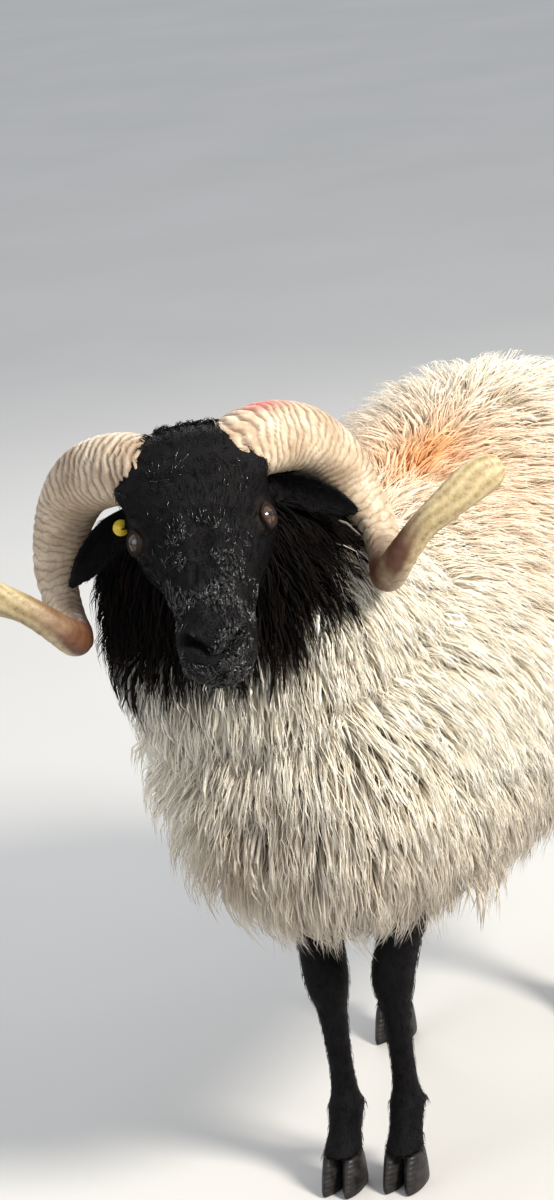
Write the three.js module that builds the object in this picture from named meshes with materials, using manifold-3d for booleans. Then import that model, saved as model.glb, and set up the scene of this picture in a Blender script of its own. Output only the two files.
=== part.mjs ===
// A life-size blackface hill ram, standing, with its head turned a little to its left.
// Millimetres, +Z up. The ram faces -Y, its left side is +X, and its feet stand on Z = 0.
import * as THREE from "three";
import { mergeVertices } from "three/addons/utils/BufferGeometryUtils.js";
import Module from "manifold-3d";

const wasm = await Module();
wasm.setup();

// Driving dimensions.
const GAP = 0.35; // clearance kept between neighbouring nodes
const FLEECE = 72; // how far the tips of the wool stand off the flesh
const CORE_SHARE = 0.5; // share of the wool's depth that the dense core fills
const POLL = new THREE.Vector3(-45, -415, 934); // top of the head between the horns
const HEAD_YAW = 25; // degrees that the face turns to the ram's left
const NOSE_DROP = 46; // degrees that the face line falls below the horizontal
const HEAD_ROLL = 5; // degrees that the left side of the head is raised
const EYE_RADIUS = 15;
const KNEE_Z = 262; // height of the knees and hocks, where a foot's own shift is reached in full

const DEG = Math.PI / 180;
const vec = (x, y, z) => new THREE.Vector3(x, y, z);

// Repeatable draws, so that every build grows the same wool.
function seeded(seed) {
  let state = seed;
  return () => {
    state = (state * 1664525 + 1013904223) % 4294967296;
    return state / 4294967296;
  };
}

// A smooth reading of a table of numbers: t runs from 0 at the first row to 1 at the last.
function smoothTable(rows) {
  return (t) => {
    const at = THREE.MathUtils.clamp(t, 0, 1) * (rows.length - 1);
    const i = Math.min(Math.floor(at), rows.length - 2);
    const f = at - i;
    const [a, b, c] = [rows[Math.max(i - 1, 0)], rows[i], rows[i + 1]];
    const d = rows[Math.min(i + 2, rows.length - 1)];
    const f2 = f * f;
    const f3 = f2 * f;
    const toC = 3 * f2 - 2 * f3;
    return b.map((_, k) => {
      const slopeB = (c[k] - a[k]) / 2;
      const slopeC = (d[k] - b[k]) / 2;
      return (1 - toC) * b[k] + (f3 - 2 * f2 + f) * slopeB + toC * c[k] + (f3 - f2) * slopeC;
    });
  };
}

// A closed surface through rings of points, with a fan over each end.
function loft(rings) {
  const sides = rings[0].length;
  const points = rings.flat();
  const faces = [];
  for (let r = 0; r < rings.length - 1; r++) {
    for (let s = 0; s < sides; s++) {
      const a = r * sides + s;
      const b = r * sides + ((s + 1) % sides);
      faces.push(a, b, b + sides, a, b + sides, a + sides);
    }
  }
  const capAt = (ring, start, flip) => {
    const middle = points.length;
    points.push(ring.reduce((sum, p) => sum.add(p), vec(0, 0, 0)).divideScalar(sides));
    for (let s = 0; s < sides; s++) {
      const a = start + s;
      const b = start + ((s + 1) % sides);
      faces.push(...(flip ? [middle, b, a] : [middle, a, b]));
    }
  };
  capAt(rings[0], 0, true);
  capAt(rings.at(-1), (rings.length - 1) * sides, false);
  const geometry = new THREE.BufferGeometry().setFromPoints(points);
  geometry.setIndex(faces);
  return geometry;
}

// A closed geometry as a solid. One that was wound inwards is turned round.
function solid(geometry) {
  const bare = geometry.clone();
  bare.deleteAttribute("normal");
  bare.deleteAttribute("uv");
  const merged = mergeVertices(bare, 1e-4);
  const build = (triVerts) =>
    new wasm.Manifold(
      new wasm.Mesh({ numProp: 3, vertProperties: merged.attributes.position.array, triVerts }),
    );
  const triangles = new Uint32Array(merged.index.array);
  const made = build(triangles);
  if (made.volume() > 0) return made;
  for (let i = 0; i < triangles.length; i += 3) {
    [triangles[i + 1], triangles[i + 2]] = [triangles[i + 2], triangles[i + 1]];
  }
  return build(triangles);
}

const join = (solids) => wasm.Manifold.union(solids);

// The largest closed surface of a solid, with loose scraps and sealed hollows dropped.
function largest(whole) {
  return whole.decompose().reduce((best, piece) => (piece.volume() > best.volume() ? piece : best));
}

function meshOf(name, whole, material) {
  const kept = largest(whole).getMesh();
  const geometry = new THREE.BufferGeometry();
  const stride = kept.numProp;
  const positions = new Float32Array((kept.vertProperties.length / stride) * 3);
  for (let i = 0; i < positions.length / 3; i++) {
    positions.set(kept.vertProperties.subarray(i * stride, i * stride + 3), i * 3);
  }
  geometry.setAttribute("position", new THREE.BufferAttribute(positions, 3));
  geometry.setIndex(new THREE.BufferAttribute(kept.triVerts, 1));
  const mesh = new THREE.Mesh(geometry, material);
  mesh.name = name;
  return mesh;
}

// A point on a rounded outline round a centre, in the plane of two axes.
// up and down are the reach along the second axis, and a power above 2 makes the outline boxier.
function onOutline(centre, across, along, half, up, down, power, turn) {
  const c = Math.cos(turn);
  const s = Math.sin(turn);
  const x = Math.sign(c) * Math.abs(c) ** (2 / power) * half;
  const y = Math.sign(s) * Math.abs(s) ** (2 / power) * (s > 0 ? up : down);
  return centre.clone().addScaledVector(across, x).addScaledVector(along, y);
}
function outlineRing(centre, across, along, half, up, down, power, sides) {
  const turns = Array.from({ length: sides }, (_, i) => (i / sides) * Math.PI * 2);
  return turns.map((turn) => onOutline(centre, across, along, half, up, down, power, turn));
}
// A solid from a surface read at evenly spaced rings and turns.
function shapeFrom(place, rings, sides) {
  const made = [];
  for (let i = 0; i < rings; i++) {
    const t = i / (rings - 1);
    made.push(Array.from({ length: sides }, (_, k) => place(t, (k / sides) * Math.PI * 2)));
  }
  return solid(loft(made));
}

const X_AXIS = vec(1, 0, 0);
const Y_AXIS = vec(0, 1, 0);
const Z_AXIS = vec(0, 0, 1);

// The head's own axes: U down the face, V out of the face, W to the ram's left.
const ahead = vec(Math.sin(HEAD_YAW * DEG), -Math.cos(HEAD_YAW * DEG), 0);
const sideways = vec(Math.cos(HEAD_YAW * DEG), Math.sin(HEAD_YAW * DEG), 0);
// A sum of two directions, each times its own number.
const blend = (one, oneTimes, two, twoTimes) =>
  one.clone().multiplyScalar(oneTimes).addScaledVector(two, twoTimes);
const rollHead = (v) => v.applyAxisAngle(ahead, HEAD_ROLL * DEG);
const headU = rollHead(blend(ahead, Math.cos(NOSE_DROP * DEG), Z_AXIS, -Math.sin(NOSE_DROP * DEG)));
const headV = rollHead(blend(ahead, Math.sin(NOSE_DROP * DEG), Z_AXIS, Math.cos(NOSE_DROP * DEG)));
const headW = rollHead(sideways.clone());
const onHead = (u, v, w) =>
  POLL.clone().addScaledVector(headU, u).addScaledVector(headV, v).addScaledVector(headW, w);

// Head outline: [u, top v, widest v, bottom v, half width].
const HEAD_STATIONS = [
  [-52, -48, -80, -110, 30],
  [-42, -26, -76, -128, 50],
  [-20, -6, -70, -142, 64],
  [15, 3, -60, -148, 71],
  [50, 8, -52, -150, 76],
  [80, 8, -44, -145, 77],
  [102, 7, -42, -137, 71],
  [128, 8, -45, -121, 57],
  [160, 7, -46, -105, 47],
  [195, 2, -44, -93, 42],
  [222, -5, -43, -87, 42],
  [240, -15, -46, -80, 37],
  [251, -28, -50, -72, 26],
  [255, -38, -52, -64, 14],
];
const headTable = smoothTable(HEAD_STATIONS);
const HEAD_POWER = 2.25;

function headPoint(t, turn, grow) {
  const [u, top, wide, bottom, half] = headTable(t);
  const [up, down] = [top - wide + grow, wide - bottom + grow];
  return onOutline(onHead(u, wide, 0), headW, headV, half + grow, up, down, HEAD_POWER, turn);
}
const FOREHEAD = { place: [46, -17, 0], radii: [66, 43, 68] }; // the hairy bulge that the horns leave
const HORN_CUSHION = { place: [40, 2, 0], radii: [40, 29, 28] }; // the pad of hair between their roots
function headShape(grow = 0, rings = 20, sides = 20) {
  const skull = shapeFrom((t, turn) => headPoint(t, turn, grow), rings, sides);
  const lumps = [FOREHEAD, HORN_CUSHION].map(({ place, radii }) =>
    headLump(place, radii.map((radius) => radius + grow), 14));
  return join([skull, ...lumps]);
}

// A rounded lump, and a tapering cord through points, both given on the head's axes.
function headLump([u, v, w], [alongU, alongV, alongW], facets = 12) {
  const ball = new THREE.SphereGeometry(1, facets, Math.round(facets * 0.7));
  const own = new THREE.Matrix4().makeBasis(
    headU.clone().multiplyScalar(alongU),
    headV.clone().multiplyScalar(alongV),
    headW.clone().multiplyScalar(alongW),
  );
  ball.applyMatrix4(own.setPosition(onHead(u, v, w)));
  return solid(ball);
}
function headCord(points, sides = 6) {
  const curve = new THREE.CatmullRomCurve3(points.map(([u, v, w]) => onHead(u, v, w)));
  const rings = [];
  const count = (points.length - 1) * 3;
  for (let i = 0; i <= count; i++) {
    const share = i / count;
    const along = curve.getTangentAt(share);
    const across = along.clone().cross(headV).normalize();
    const rise = across.clone().cross(along);
    const k = Math.min(Math.floor(share * (points.length - 1)), points.length - 2);
    const f = share * (points.length - 1) - k;
    const radius = THREE.MathUtils.lerp(points[k][3], points[k + 1][3], f);
    rings.push(outlineRing(curve.getPointAt(share), across, rise, radius, radius, radius, 2, sides));
  }
  return solid(loft(rings));
}

// The face: a brow and lids round each eye, nostril slits and the line of the mouth.
function faceShape() {
  let face = headShape();
  for (const side of [1, -1]) {
    const brow = headLump([EYE.u - 4, EYE.v + 2, side * (EYE.w - 5)], [27, 20, 20], 10);
    face = face.add(brow);
  }
  for (const side of [1, -1]) {
    const lidOpening = headLump([EYE.u + 1, EYE.v, side * (EYE.w + EYE_RADIUS)], [14, 8.5, 7]);
    const nostril = headCord([
      [255, -38, side * 4, 2],
      [249, -26, side * 9, 3.6],
      [239, -16, side * 17, 4.4],
      [226, -11, side * 25, 2.6],
    ]);
    face = face.subtract(lidOpening).subtract(nostril);
  }
  const mouth = headCord([
    [196, -76, -40, 1.4],
    [218, -72, -40, 2.6],
    [241, -64, -31, 2.8],
    [256, -58, 0, 2.8],
    [241, -64, 31, 2.8],
    [218, -72, 40, 2.6],
    [196, -76, 40, 1.4],
  ]);
  return face.subtract(mouth);
}

// Torso: [x, y, middle z, half width, up, down] of the flesh.
const TORSO_STATIONS = [
  [0, -345, 552, -18, -12, 0],
  [0, -332, 550, 78, 70, 108],
  [0, -278, 550, 116, 116, 150],
  [0, -180, 552, 144, 150, 170],
  [0, -80, 556, 160, 164, 182],
  [4, 40, 562, 172, 176, 184],
  [14, 150, 576, 176, 192, 182],
  [26, 255, 594, 168, 202, 170],
  [36, 345, 612, 140, 172, 146],
  [40, 392, 624, 86, 104, 100],
  [41, 406, 628, -14, -10, -8],
];
const torsoTable = smoothTable(TORSO_STATIONS);
// The place on the trunk at a share t of its length and a turn round it, a given depth off the flesh.
function torsoPoint(t, turn, depth) {
  const [x, y, z, half, up, down] = torsoTable(t);
  const middle = vec(x, y + (t - 0.5) * 2 * depth, z);
  return onOutline(middle, X_AXIS, Z_AXIS, half + depth, up + depth, down + depth, 2.3, turn);
}
const torsoShape = (depth, rings = 15, sides = 18) =>
  shapeFrom((t, turn) => torsoPoint(t, turn, depth), rings, sides);

// Neck: [x, y, z, half width, half depth, wool depth] from its base to the skull.
const NECK_STATIONS = [
  [-8, -140, 565, 114, 135, 72],
  [-20, -215, 640, 115, 126, 70],
  [-38, -278, 712, 110, 108, 64],
  [-53, -324, 780, 97, 92, 54],
  [-56, -355, 830, 76, 74, 40],
  [-58, -372, 860, 56, 52, 22],
];
const NECK_TILT = 38; // degrees that a ring of the neck is tipped back from the horizontal
const neckTable = smoothTable(NECK_STATIONS);
const neckAlong = vec(0, Math.cos(NECK_TILT * DEG), Math.sin(NECK_TILT * DEG));
function neckPoint(t, turn, woolShare, grow = 0) {
  const [x, y, z, half, depth, woolDepth] = neckTable(t);
  const more = woolDepth * woolShare + grow;
  return onOutline(vec(x, y, z), X_AXIS, neckAlong, half + more, depth + more, depth + more, 2.1, turn);
}
const neckShape = (woolShare, grow = 0, rings = 9, sides = 20) =>
  shapeFrom((t, turn) => neckPoint(t, turn, woolShare, grow), rings, sides);

// Legs: [x, y, z, half width, half depth], for the left side.
const FORELEG = [
  [80, -160, 470, 46, 66],
  [72, -172, 410, 38, 52],
  [60, -190, 350, 31, 40],
  [47, -212, 295, 26, 31],
  [40, -222, 262, 25.5, 28],
  [38, -224, 238, 23, 25],
  [37, -222, 212, 17, 19],
  [36.5, -219, 160, 14, 16],
  [36, -217, 115, 15, 17],
  [36, -218, 92, 21, 22],
  [36, -224, 76, 19.5, 21],
  [36, -233, 59, 20, 21],
  [36, -242, 42, 24, 27],
];
const HINDLEG = [
  [88, 285, 550, 62, 96],
  [88, 295, 455, 52, 76],
  [89, 312, 380, 36, 52],
  [90, 330, 320, 24, 37],
  [90, 336, 284, 21.5, 35],
  [90, 335, 256, 21.5, 31],
  [90, 329, 229, 18, 23],
  [90, 322, 186, 15, 18],
  [90, 314, 140, 15, 17],
  [90, 306, 106, 18, 19],
  [90, 301, 90, 21.5, 22],
  [90, 294, 74, 20, 21.5],
  [90, 286, 58, 19.5, 21],
  [90, 277, 42, 23.5, 26.5],
];
// Each foot's own place: how far its leg is carried sideways and forwards, rising from none at the top.
const STANCE = {
  foreleg_left: { stations: FORELEG, side: 1, out: -3, ahead: -8 },
  foreleg_right: { stations: FORELEG, side: -1, out: 0, ahead: 12 },
  hindleg_left: { stations: HINDLEG, side: 1, out: 18, ahead: 15 },
  hindleg_right: { stations: HINDLEG, side: -1, out: 44, ahead: 112 },
};
function legShape(name, grow, rings = 20, sides = 9) {
  const { stations, side, out, ahead: forward } = STANCE[name];
  const table = smoothTable(stations);
  const topZ = stations[0][2];
  const footZ = stations.at(-1)[2];
  const made = [];
  for (let i = 0; i < rings; i++) {
    const [x, y, z, half, depth] = table(i / (rings - 1));
    const share = Math.min((topZ - z) / (topZ - KNEE_Z), 1);
    const lower = i === rings - 1 ? grow : 0;
    const middle = vec(side * (x + out * share), y - forward * share, Math.max(z, footZ) - lower);
    made.push(outlineRing(middle, X_AXIS, Y_AXIS, half + grow, depth + grow, depth + grow, 2.2, sides));
  }
  return solid(loft(made));
}

// A horn, from its root to its tip, about a line across the head:
// [turn in degrees, distance out from the middle of the head, reach, half width, half depth,
// share of that distance in the right horn, which curls in closer to the cheek].
const HORN_STATIONS = [
  [-44, 18, 74, 23, 29, 1],
  [-24, 52, 82, 34, 36, 1],
  [0, 88, 83, 37, 38, 1],
  [22, 121, 82, 34.5, 35, 0.98],
  [57, 153, 80, 31, 31, 0.97],
  [89, 170, 78, 26, 27, 0.97],
  [112, 181, 76, 21, 23, 0.93],
  [140, 184, 79, 19, 21, 0.89],
  [175, 181, 83, 18, 19, 0.86],
  [205, 193, 80, 16, 17, 0.86],
  [232, 222, 73, 15, 14, 0.87],
  [250, 255, 71, 18, 12, 0.88],
  [263, 284, 68, 20.5, 11, 0.88],
  [270, 307, 66, 18, 9.5, 0.89],
  [272, 318, 65, 10, 5, 0.89],
];
const hornTable = smoothTable(HORN_STATIONS);
const HORN_AXIS = { u: 71, v: -69 };
const FACE_LEAN = 29 * DEG; // between the face line and the plane in which the horns turn
const hornUp = blend(headU, -Math.cos(FACE_LEAN), headV, Math.sin(FACE_LEAN));
const hornBack = blend(headU, -Math.sin(FACE_LEAN), headV, -Math.cos(FACE_LEAN));
// A point given by its height, depth and distance out from the middle of the horns' own axis.
const byHorn = (up, back, out) =>
  onHead(HORN_AXIS.u, HORN_AXIS.v, out).addScaledVector(hornUp, up).addScaledVector(hornBack, back);
function hornPoint(t, side) {
  const [turn, out, reach, , , rightShare] = hornTable(t);
  const spread = side > 0 ? 1 : rightShare;
  return byHorn(Math.cos(turn * DEG) * reach, Math.sin(turn * DEG) * reach, side * out * spread);
}
function hornShape(side, grow, rings = 36, sides = 11) {
  const made = [];
  for (let i = 0; i < rings; i++) {
    const t = i / (rings - 1);
    const [turn, , , half, depth] = hornTable(t);
    const middle = hornPoint(t, side);
    const [before, after] = [hornPoint(Math.max(t - 0.01, 0), side), hornPoint(Math.min(t + 0.01, 1), side)];
    const along = after.sub(before).normalize();
    const out = byHorn(Math.cos(turn * DEG), Math.sin(turn * DEG), 0).sub(byHorn(0, 0, 0));
    out.addScaledVector(along, -out.dot(along)).normalize();
    const cross = along.clone().cross(out);
    if (i === rings - 1) middle.addScaledVector(along, grow);
    made.push(outlineRing(middle, cross, out, half + grow, depth + grow, depth + grow, 2.2, sides));
  }
  return solid(loft(made));
}

// Ears: [share of the length, half width, cup depth, thickness].
const EAR_STATIONS = [
  [0, 9, 7, 9],
  [0.16, 14, 9, 7],
  [0.38, 20, 8, 5.5],
  [0.6, 20, 6, 5],
  [0.8, 15, 4, 4.5],
  [0.93, 8, 2, 3.5],
  [1, 2.5, 0.5, 2],
];
const earTable = smoothTable(EAR_STATIONS);
const EARS = {
  1: { root: [38, 28, 52], tip: [-14, 8, 166], cup: [-0.35, -1] },
  [-1]: { root: [38, 28, 52], tip: [-30, 6, 152], cup: [-0.35, -1] },
};
function earFrame(side) {
  const { root, tip, cup } = EARS[side];
  const from = byHorn(root[0], root[1], side * root[2]);
  const to = byHorn(tip[0], tip[1], side * tip[2]);
  const along = to.clone().sub(from);
  const length = along.length();
  along.normalize();
  const face = blend(hornUp, cup[0], hornBack, cup[1]);
  face.addScaledVector(along, -face.dot(along)).normalize();
  return { from, along, length, face, across: face.clone().cross(along) };
}
function earShape(side, grow, rings = 10, arc = 5) {
  const { from, along, length, face, across } = earFrame(side);
  const made = [];
  for (let i = 0; i < rings; i++) {
    const [share, half, cup, thick] = earTable(i / (rings - 1));
    const stretch = i === rings - 1 ? grow : i === 0 ? -grow : 0;
    const middle = from.clone().addScaledVector(along, share * length + stretch);
    middle.addScaledVector(hornUp, Math.sin(share * Math.PI) * 8);
    const ring = [];
    const edge = (k, skin) => {
      const s = -1 + (2 * k) / arc;
      const rise = skin * (thick / 2 + grow) - cup * (1 - s * s);
      ring.push(middle.clone().addScaledVector(across, s * (half + grow)).addScaledVector(face, rise));
    };
    for (let k = 0; k <= arc; k++) edge(k, -1);
    for (let k = arc; k >= 0; k--) edge(k, 1);
    made.push(ring);
  }
  return solid(loft(made));
}

// Eyes: each a ball sunk in its socket.
const EYE = { u: 94, v: -27, w: 63 };
function eyeShape(side, grow) {
  const ball = new THREE.SphereGeometry(EYE_RADIUS + grow, 16, 10);
  const at = onHead(EYE.u, EYE.v, side * EYE.w);
  ball.translate(at.x, at.y, at.z);
  return solid(ball);
}

// One claw of a foot: [z, half width, reach ahead, reach behind]; flat on its sole.
const CLAW_STATIONS = [
  [0, 10.6, 36, 25],
  [5, 11.6, 36.5, 26],
  [22, 11.4, 30, 25],
  [36, 10.4, 23, 23],
  [41.6, 9.4, 19, 20],
];
function clawShape(name, inner) {
  const { side, stations, out, ahead: forward } = STANCE[name];
  const [footX, footY] = stations.at(-1);
  const sign = inner ? -1 : 1;
  const table = smoothTable(CLAW_STATIONS);
  const made = [];
  for (let i = 0; i < 6; i++) {
    const [z, half, toe, heel] = table(i / 5);
    const ring = [];
    for (let k = 0; k < 12; k++) {
      const turn = (k / 12) * Math.PI * 2;
      const reach = Math.sin(turn) < 0 ? toe : heel;
      const narrow = Math.sin(turn) < 0 ? 1 - 0.32 * Math.sin(turn) ** 4 : 1;
      const y = Math.sin(turn) * reach;
      const x = Math.cos(turn) * half * narrow + (y < 0 ? -sign * 0.04 * y : 0);
      ring.push(vec(side * (footX + out + sign * 12.3 + x), footY - forward + y, z));
    }
    made.push(ring);
  }
  return solid(loft(made));
}

// Tail: [y, z, half width, half depth], hanging over the rump.
const TAIL_STATIONS = [
  [372, 704, 34, 24],
  [432, 706, 38, 26],
  [480, 674, 42, 28],
  [500, 612, 46, 30],
  [504, 542, 46, 30],
  [498, 472, 38, 26],
  [492, 422, 22, 18],
  [490, 408, 8, 7],
];
const TAIL_X = 41;
const tailTable = smoothTable(TAIL_STATIONS);
function tailPoint(t, turn, grow) {
  const [y, z, half, depth] = tailTable(t);
  const [beforeY, beforeZ] = tailTable(Math.max(t - 0.02, 0));
  const [afterY, afterZ] = tailTable(Math.min(t + 0.02, 1));
  const cross = vec(0, afterY - beforeY, afterZ - beforeZ).normalize().cross(X_AXIS);
  return onOutline(vec(TAIL_X, y, z), X_AXIS, cross, half + grow, depth + grow, depth + grow, 2.1, turn);
}
const tailShape = (grow) => shapeFrom((t, turn) => tailPoint(t, turn, grow), 11, 10);

// A yellow button tag through the right ear.
function tagShape(grow) {
  const { from, along, length, face, across } = earFrame(-1);
  const at = from.clone().addScaledVector(along, length * 0.34);
  at.addScaledVector(hornUp, 7).addScaledVector(face, -6.5);
  const turned = new THREE.Matrix4().makeBasis(across, face, along).setPosition(at);
  const discs = [
    [9 + grow, 2.6 + 2 * grow, 5.2],
    [2.2 + grow, 12, 0],
    [7 + grow, 2.4 + 2 * grow, -5.2],
  ];
  const pieces = discs.map(([radius, height, lift]) => {
    const disc = new THREE.CylinderGeometry(radius, radius, height, 12);
    disc.translate(0, lift, 0);
    disc.applyMatrix4(turned);
    return solid(disc);
  });
  return join(pieces);
}

// Wool. A lock is a flat tapered ribbon with a ridge along its back. It starts inside the core,
// follows the core's surface along its lie, and lifts off it towards the tip.
// Rings of a lock: [share of its length, share of its width, share of its thickness].
const LOCK_RINGS = [
  [0, 0.75, 0.8],
  [0.36, 1, 1],
  [0.74, 0.68, 0.66],
];
const LOCK_SINK = 9; // how deep a lock's root lies under the core's surface
function lockShape(place, t0, turn0, lie, { length, width, thickness, lift }, grow) {
  const small = 0.004;
  let t = t0;
  let turn = turn0;
  const path = [];
  const steps = 10;
  for (let i = 0; i <= steps; i++) {
    const here = place(t, turn);
    const alongT = place(t + small, turn).sub(place(t - small, turn)).divideScalar(2 * small);
    const alongTurn = place(t, turn + small).sub(place(t, turn - small)).divideScalar(2 * small);
    const normal = alongTurn.clone().cross(alongT).normalize();
    const middle = place(t, turn + Math.PI);
    if (normal.dot(here.clone().sub(middle)) < 0) normal.negate();
    const way = lie(here, normal);
    way.addScaledVector(normal, -way.dot(normal)).normalize();
    path.push({ here, normal, way });
    const step = length / steps;
    const [aa, ab, bb] = [alongT.dot(alongT), alongT.dot(alongTurn), alongTurn.dot(alongTurn)];
    const [ra, rb] = [way.dot(alongT) * step, way.dot(alongTurn) * step];
    const det = aa * bb - ab * ab;
    t = THREE.MathUtils.clamp(t + (ra * bb - rb * ab) / det, 0.01, 0.99);
    turn += (rb * aa - ra * ab) / det;
  }
  const at = (share) => {
    const i = Math.min(Math.floor(share * steps), steps - 1);
    const f = share * steps - i;
    const mix = (key) => path[i][key].clone().lerp(path[i + 1][key], f);
    const normal = mix("normal").normalize();
    const raised = -LOCK_SINK + (lift + LOCK_SINK) * share ** 0.8;
    return { spot: mix("here").addScaledVector(normal, raised), normal, way: mix("way").normalize() };
  };
  const rings = LOCK_RINGS.map(([share, wide, thick]) => {
    const { spot, normal, way } = at(share);
    const across = way.clone().cross(normal).normalize();
    const half = (width / 2) * wide + grow;
    const rise = thickness * thick;
    return [
      spot.clone().addScaledVector(across, -half).addScaledVector(normal, -rise * 0.4 - grow),
      spot.clone().addScaledVector(across, half).addScaledVector(normal, -rise * 0.4 - grow),
      spot.clone().addScaledVector(normal, rise * 0.6 + grow),
    ];
  });
  const end = at(1);
  const tip = end.spot.addScaledVector(end.way, grow);
  const across = end.way.clone().cross(end.normal).normalize();
  rings.push([
    tip.clone().addScaledVector(across, -1 - grow).addScaledVector(end.normal, -1 - grow),
    tip.clone().addScaledVector(across, 1 + grow).addScaledVector(end.normal, -1 - grow),
    tip.clone().addScaledVector(end.normal, 1 + grow),
  ]);
  return solid(loft(rings));
}

// Wool falls with gravity and trails backwards; on the back it parts along the spine.
const woolLie = (trail) => (here, normal) => {
  const side = Math.sign(here.x - 12) || 1;
  return vec(side * Math.max(normal.z, 0) * 0.9, trail, -1);
};

// Rows of locks over a surface: [share of its length, first turn, last turn, count] with turns in degrees.
const TORSO_LOCK_ROWS = [
  [0.03, -60, 240, 4],
  [0.11, -66, 246, 6],
  [0.2, -54, 234, 6],
  [0.29, -50, 230, 6],
  [0.38, -48, 228, 6],
  [0.47, -48, 228, 6],
  [0.56, -48, 228, 6],
  [0.65, -48, 228, 6],
  [0.74, -50, 230, 6],
  [0.83, -54, 234, 6],
  [0.91, -66, 246, 6],
];
const NECK_LOCK_ROWS = [
  [0.2, -265, 85, 9],
  [0.45, -265, 85, 9],
  [0.68, -265, 85, 9],
];
const TAIL_LOCK_ROWS = [
  [0.3, -90, 270, 4],
  [0.48, -70, 290, 5],
  [0.66, -90, 270, 5],
];
const CROWN_LOCK_ROWS = [
  [0.17, 66, 114, 3],
  [0.24, 74, 106, 2],
];
function growLocks(rows, place, lie, size, seed, grow) {
  const draw = seeded(seed);
  const locks = [];
  rows.forEach(([t, first, last, count], row) => {
    for (let i = 0; i < count; i++) {
      const share = (i + 0.5 + (row % 2 ? 0.25 : -0.25) + (draw() - 0.5) * 0.5) / count;
      const turn = (first + (last - first) * share) * DEG;
      const start = t + (draw() - 0.5) * 0.045;
      const scale = 0.85 + draw() * 0.35;
      const own = size(t, turn);
      own.length *= scale;
      own.width *= 0.8 + draw() * 0.4;
      own.lift *= 0.75 + draw() * 0.3;
      locks.push(lockShape(place, start, turn, lie, own, grow));
    }
  });
  return join(locks);
}

// Sizes of the locks on each part, at a share t of its length.
const woolCore = FLEECE * CORE_SHARE;
const torsoLock = () => ({ length: 205, width: 96, thickness: 28, lift: FLEECE - woolCore + 16 });
const neckLock = (t) => ({ length: 165 - 60 * t, width: 74, thickness: 24, lift: 46 - 20 * t });
const tailLock = () => ({ length: 120, width: 46, thickness: 16, lift: 16 });
const crownLock = () => ({ length: 46, width: 22, thickness: 10, lift: 12 });

const onTorso = (t, turn) => torsoPoint(t, turn, woolCore);
const onNeck = (t, turn) => neckPoint(t, turn, CORE_SHARE);
const onTail = (t, turn) => tailPoint(t, turn, 0);
const onCrown = (t, turn) => headPoint(t, turn, 0);
const crownLie = (here) => headU.clone().addScaledVector(headW, Math.sign(here.x - POLL.x) * 0.3);

const torsoLocks = (grow) => growLocks(TORSO_LOCK_ROWS, onTorso, woolLie(0.45), torsoLock, 9, grow);
const neckLocks = (grow) => growLocks(NECK_LOCK_ROWS, onNeck, woolLie(0.12), neckLock, 23, grow);
const tailLocks = (grow) => growLocks(TAIL_LOCK_ROWS, onTail, woolLie(0), tailLock, 31, grow);
const crownLocks = (grow) => growLocks(CROWN_LOCK_ROWS, onCrown, crownLie, crownLock, 47, grow);

const plain = (color, roughness) => new THREE.MeshStandardMaterial({ color, roughness, metalness: 0 });
const woolStuff = plain(0xe9dfc9, 0.95);
const ruffStuff = plain(0x1b1714, 0.95);
const hairStuff = plain(0x14110f, 0.7);
const hornStuff = plain(0xc2aa82, 0.6);
const clawStuff = plain(0x2a241f, 0.5);
const eyeStuff = plain(0x5a3a22, 0.1);
const tagStuff = plain(0xf2c51a, 0.4);

const ram = new THREE.Group();
ram.name = "blackface_ram";
const add = (name, whole, material) => ram.add(meshOf(name, whole, material));
const cut = (whole, ...others) => others.reduce((left, other) => left.subtract(other), whole);

const legNames = Object.keys(STANCE);
const hornsGrown = [hornShape(1, GAP), hornShape(-1, GAP)];
const eyesGrown = [eyeShape(1, GAP), eyeShape(-1, GAP)];
const earsGrown = [earShape(1, GAP), earShape(-1, GAP)];
const legsGrown = legNames.map((name) => legShape(name, GAP));
const coreGrown = torsoShape(woolCore + GAP);
const headGrown = headShape(GAP).add(crownLocks(GAP));

// The ruff hangs over the chest and the tail over the rump, so the trunk's wool gives way to both.
const neckWhole = neckShape(CORE_SHARE).add(neckLocks(0));
const tailWhole = tailShape(0).add(tailLocks(0));
const shifts = [[GAP, 0, 0], [-GAP, 0, 0], [0, GAP, 0], [0, -GAP, 0], [0, 0, GAP], [0, 0, -GAP]];
const cleared = (whole) => join([whole, ...shifts.map((shift) => whole.translate(shift))]);
const trunkWool = cut(torsoLocks(0), cleared(neckWhole), cleared(tailWhole));

add("torso", cut(torsoShape(woolCore).add(trunkWool), ...legsGrown, ...hornsGrown), woolStuff);
add("neck", cut(neckWhole, coreGrown, headGrown, ...hornsGrown, ...earsGrown), ruffStuff);
add("head", cut(faceShape().add(crownLocks(0)), ...hornsGrown, ...eyesGrown), hairStuff);
add("tail", cut(tailWhole, coreGrown), woolStuff);
for (const [label, side] of [["left", 1], ["right", -1]]) {
  add(`horn_${label}`, hornShape(side, 0), hornStuff);
  add(`eye_${label}`, eyeShape(side, 0), eyeStuff);
  const ear = cut(earShape(side, 0), headGrown, ...hornsGrown);
  add(`ear_${label}`, side < 0 ? cut(ear, tagShape(GAP)) : ear, hairStuff);
}
add("ear_tag", tagShape(0), tagStuff);
for (const name of legNames) {
  add(name, legShape(name, 0), hairStuff);
  add(name.replace("leg_", "_claw_") + "_inner", clawShape(name, true), clawStuff);
  add(name.replace("leg_", "_claw_") + "_outer", clawShape(name, false), clawStuff);
}

// The origin lies on the floor, under the middle of the whole ram.
const span = new THREE.Box3().setFromObject(ram);
const middle = span.getCenter(new THREE.Vector3());
ram.position.set(-middle.x, -middle.y, 0);

export default ram;
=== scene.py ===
"""The looks of a standing blackface ram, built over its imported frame."""

import math

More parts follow.
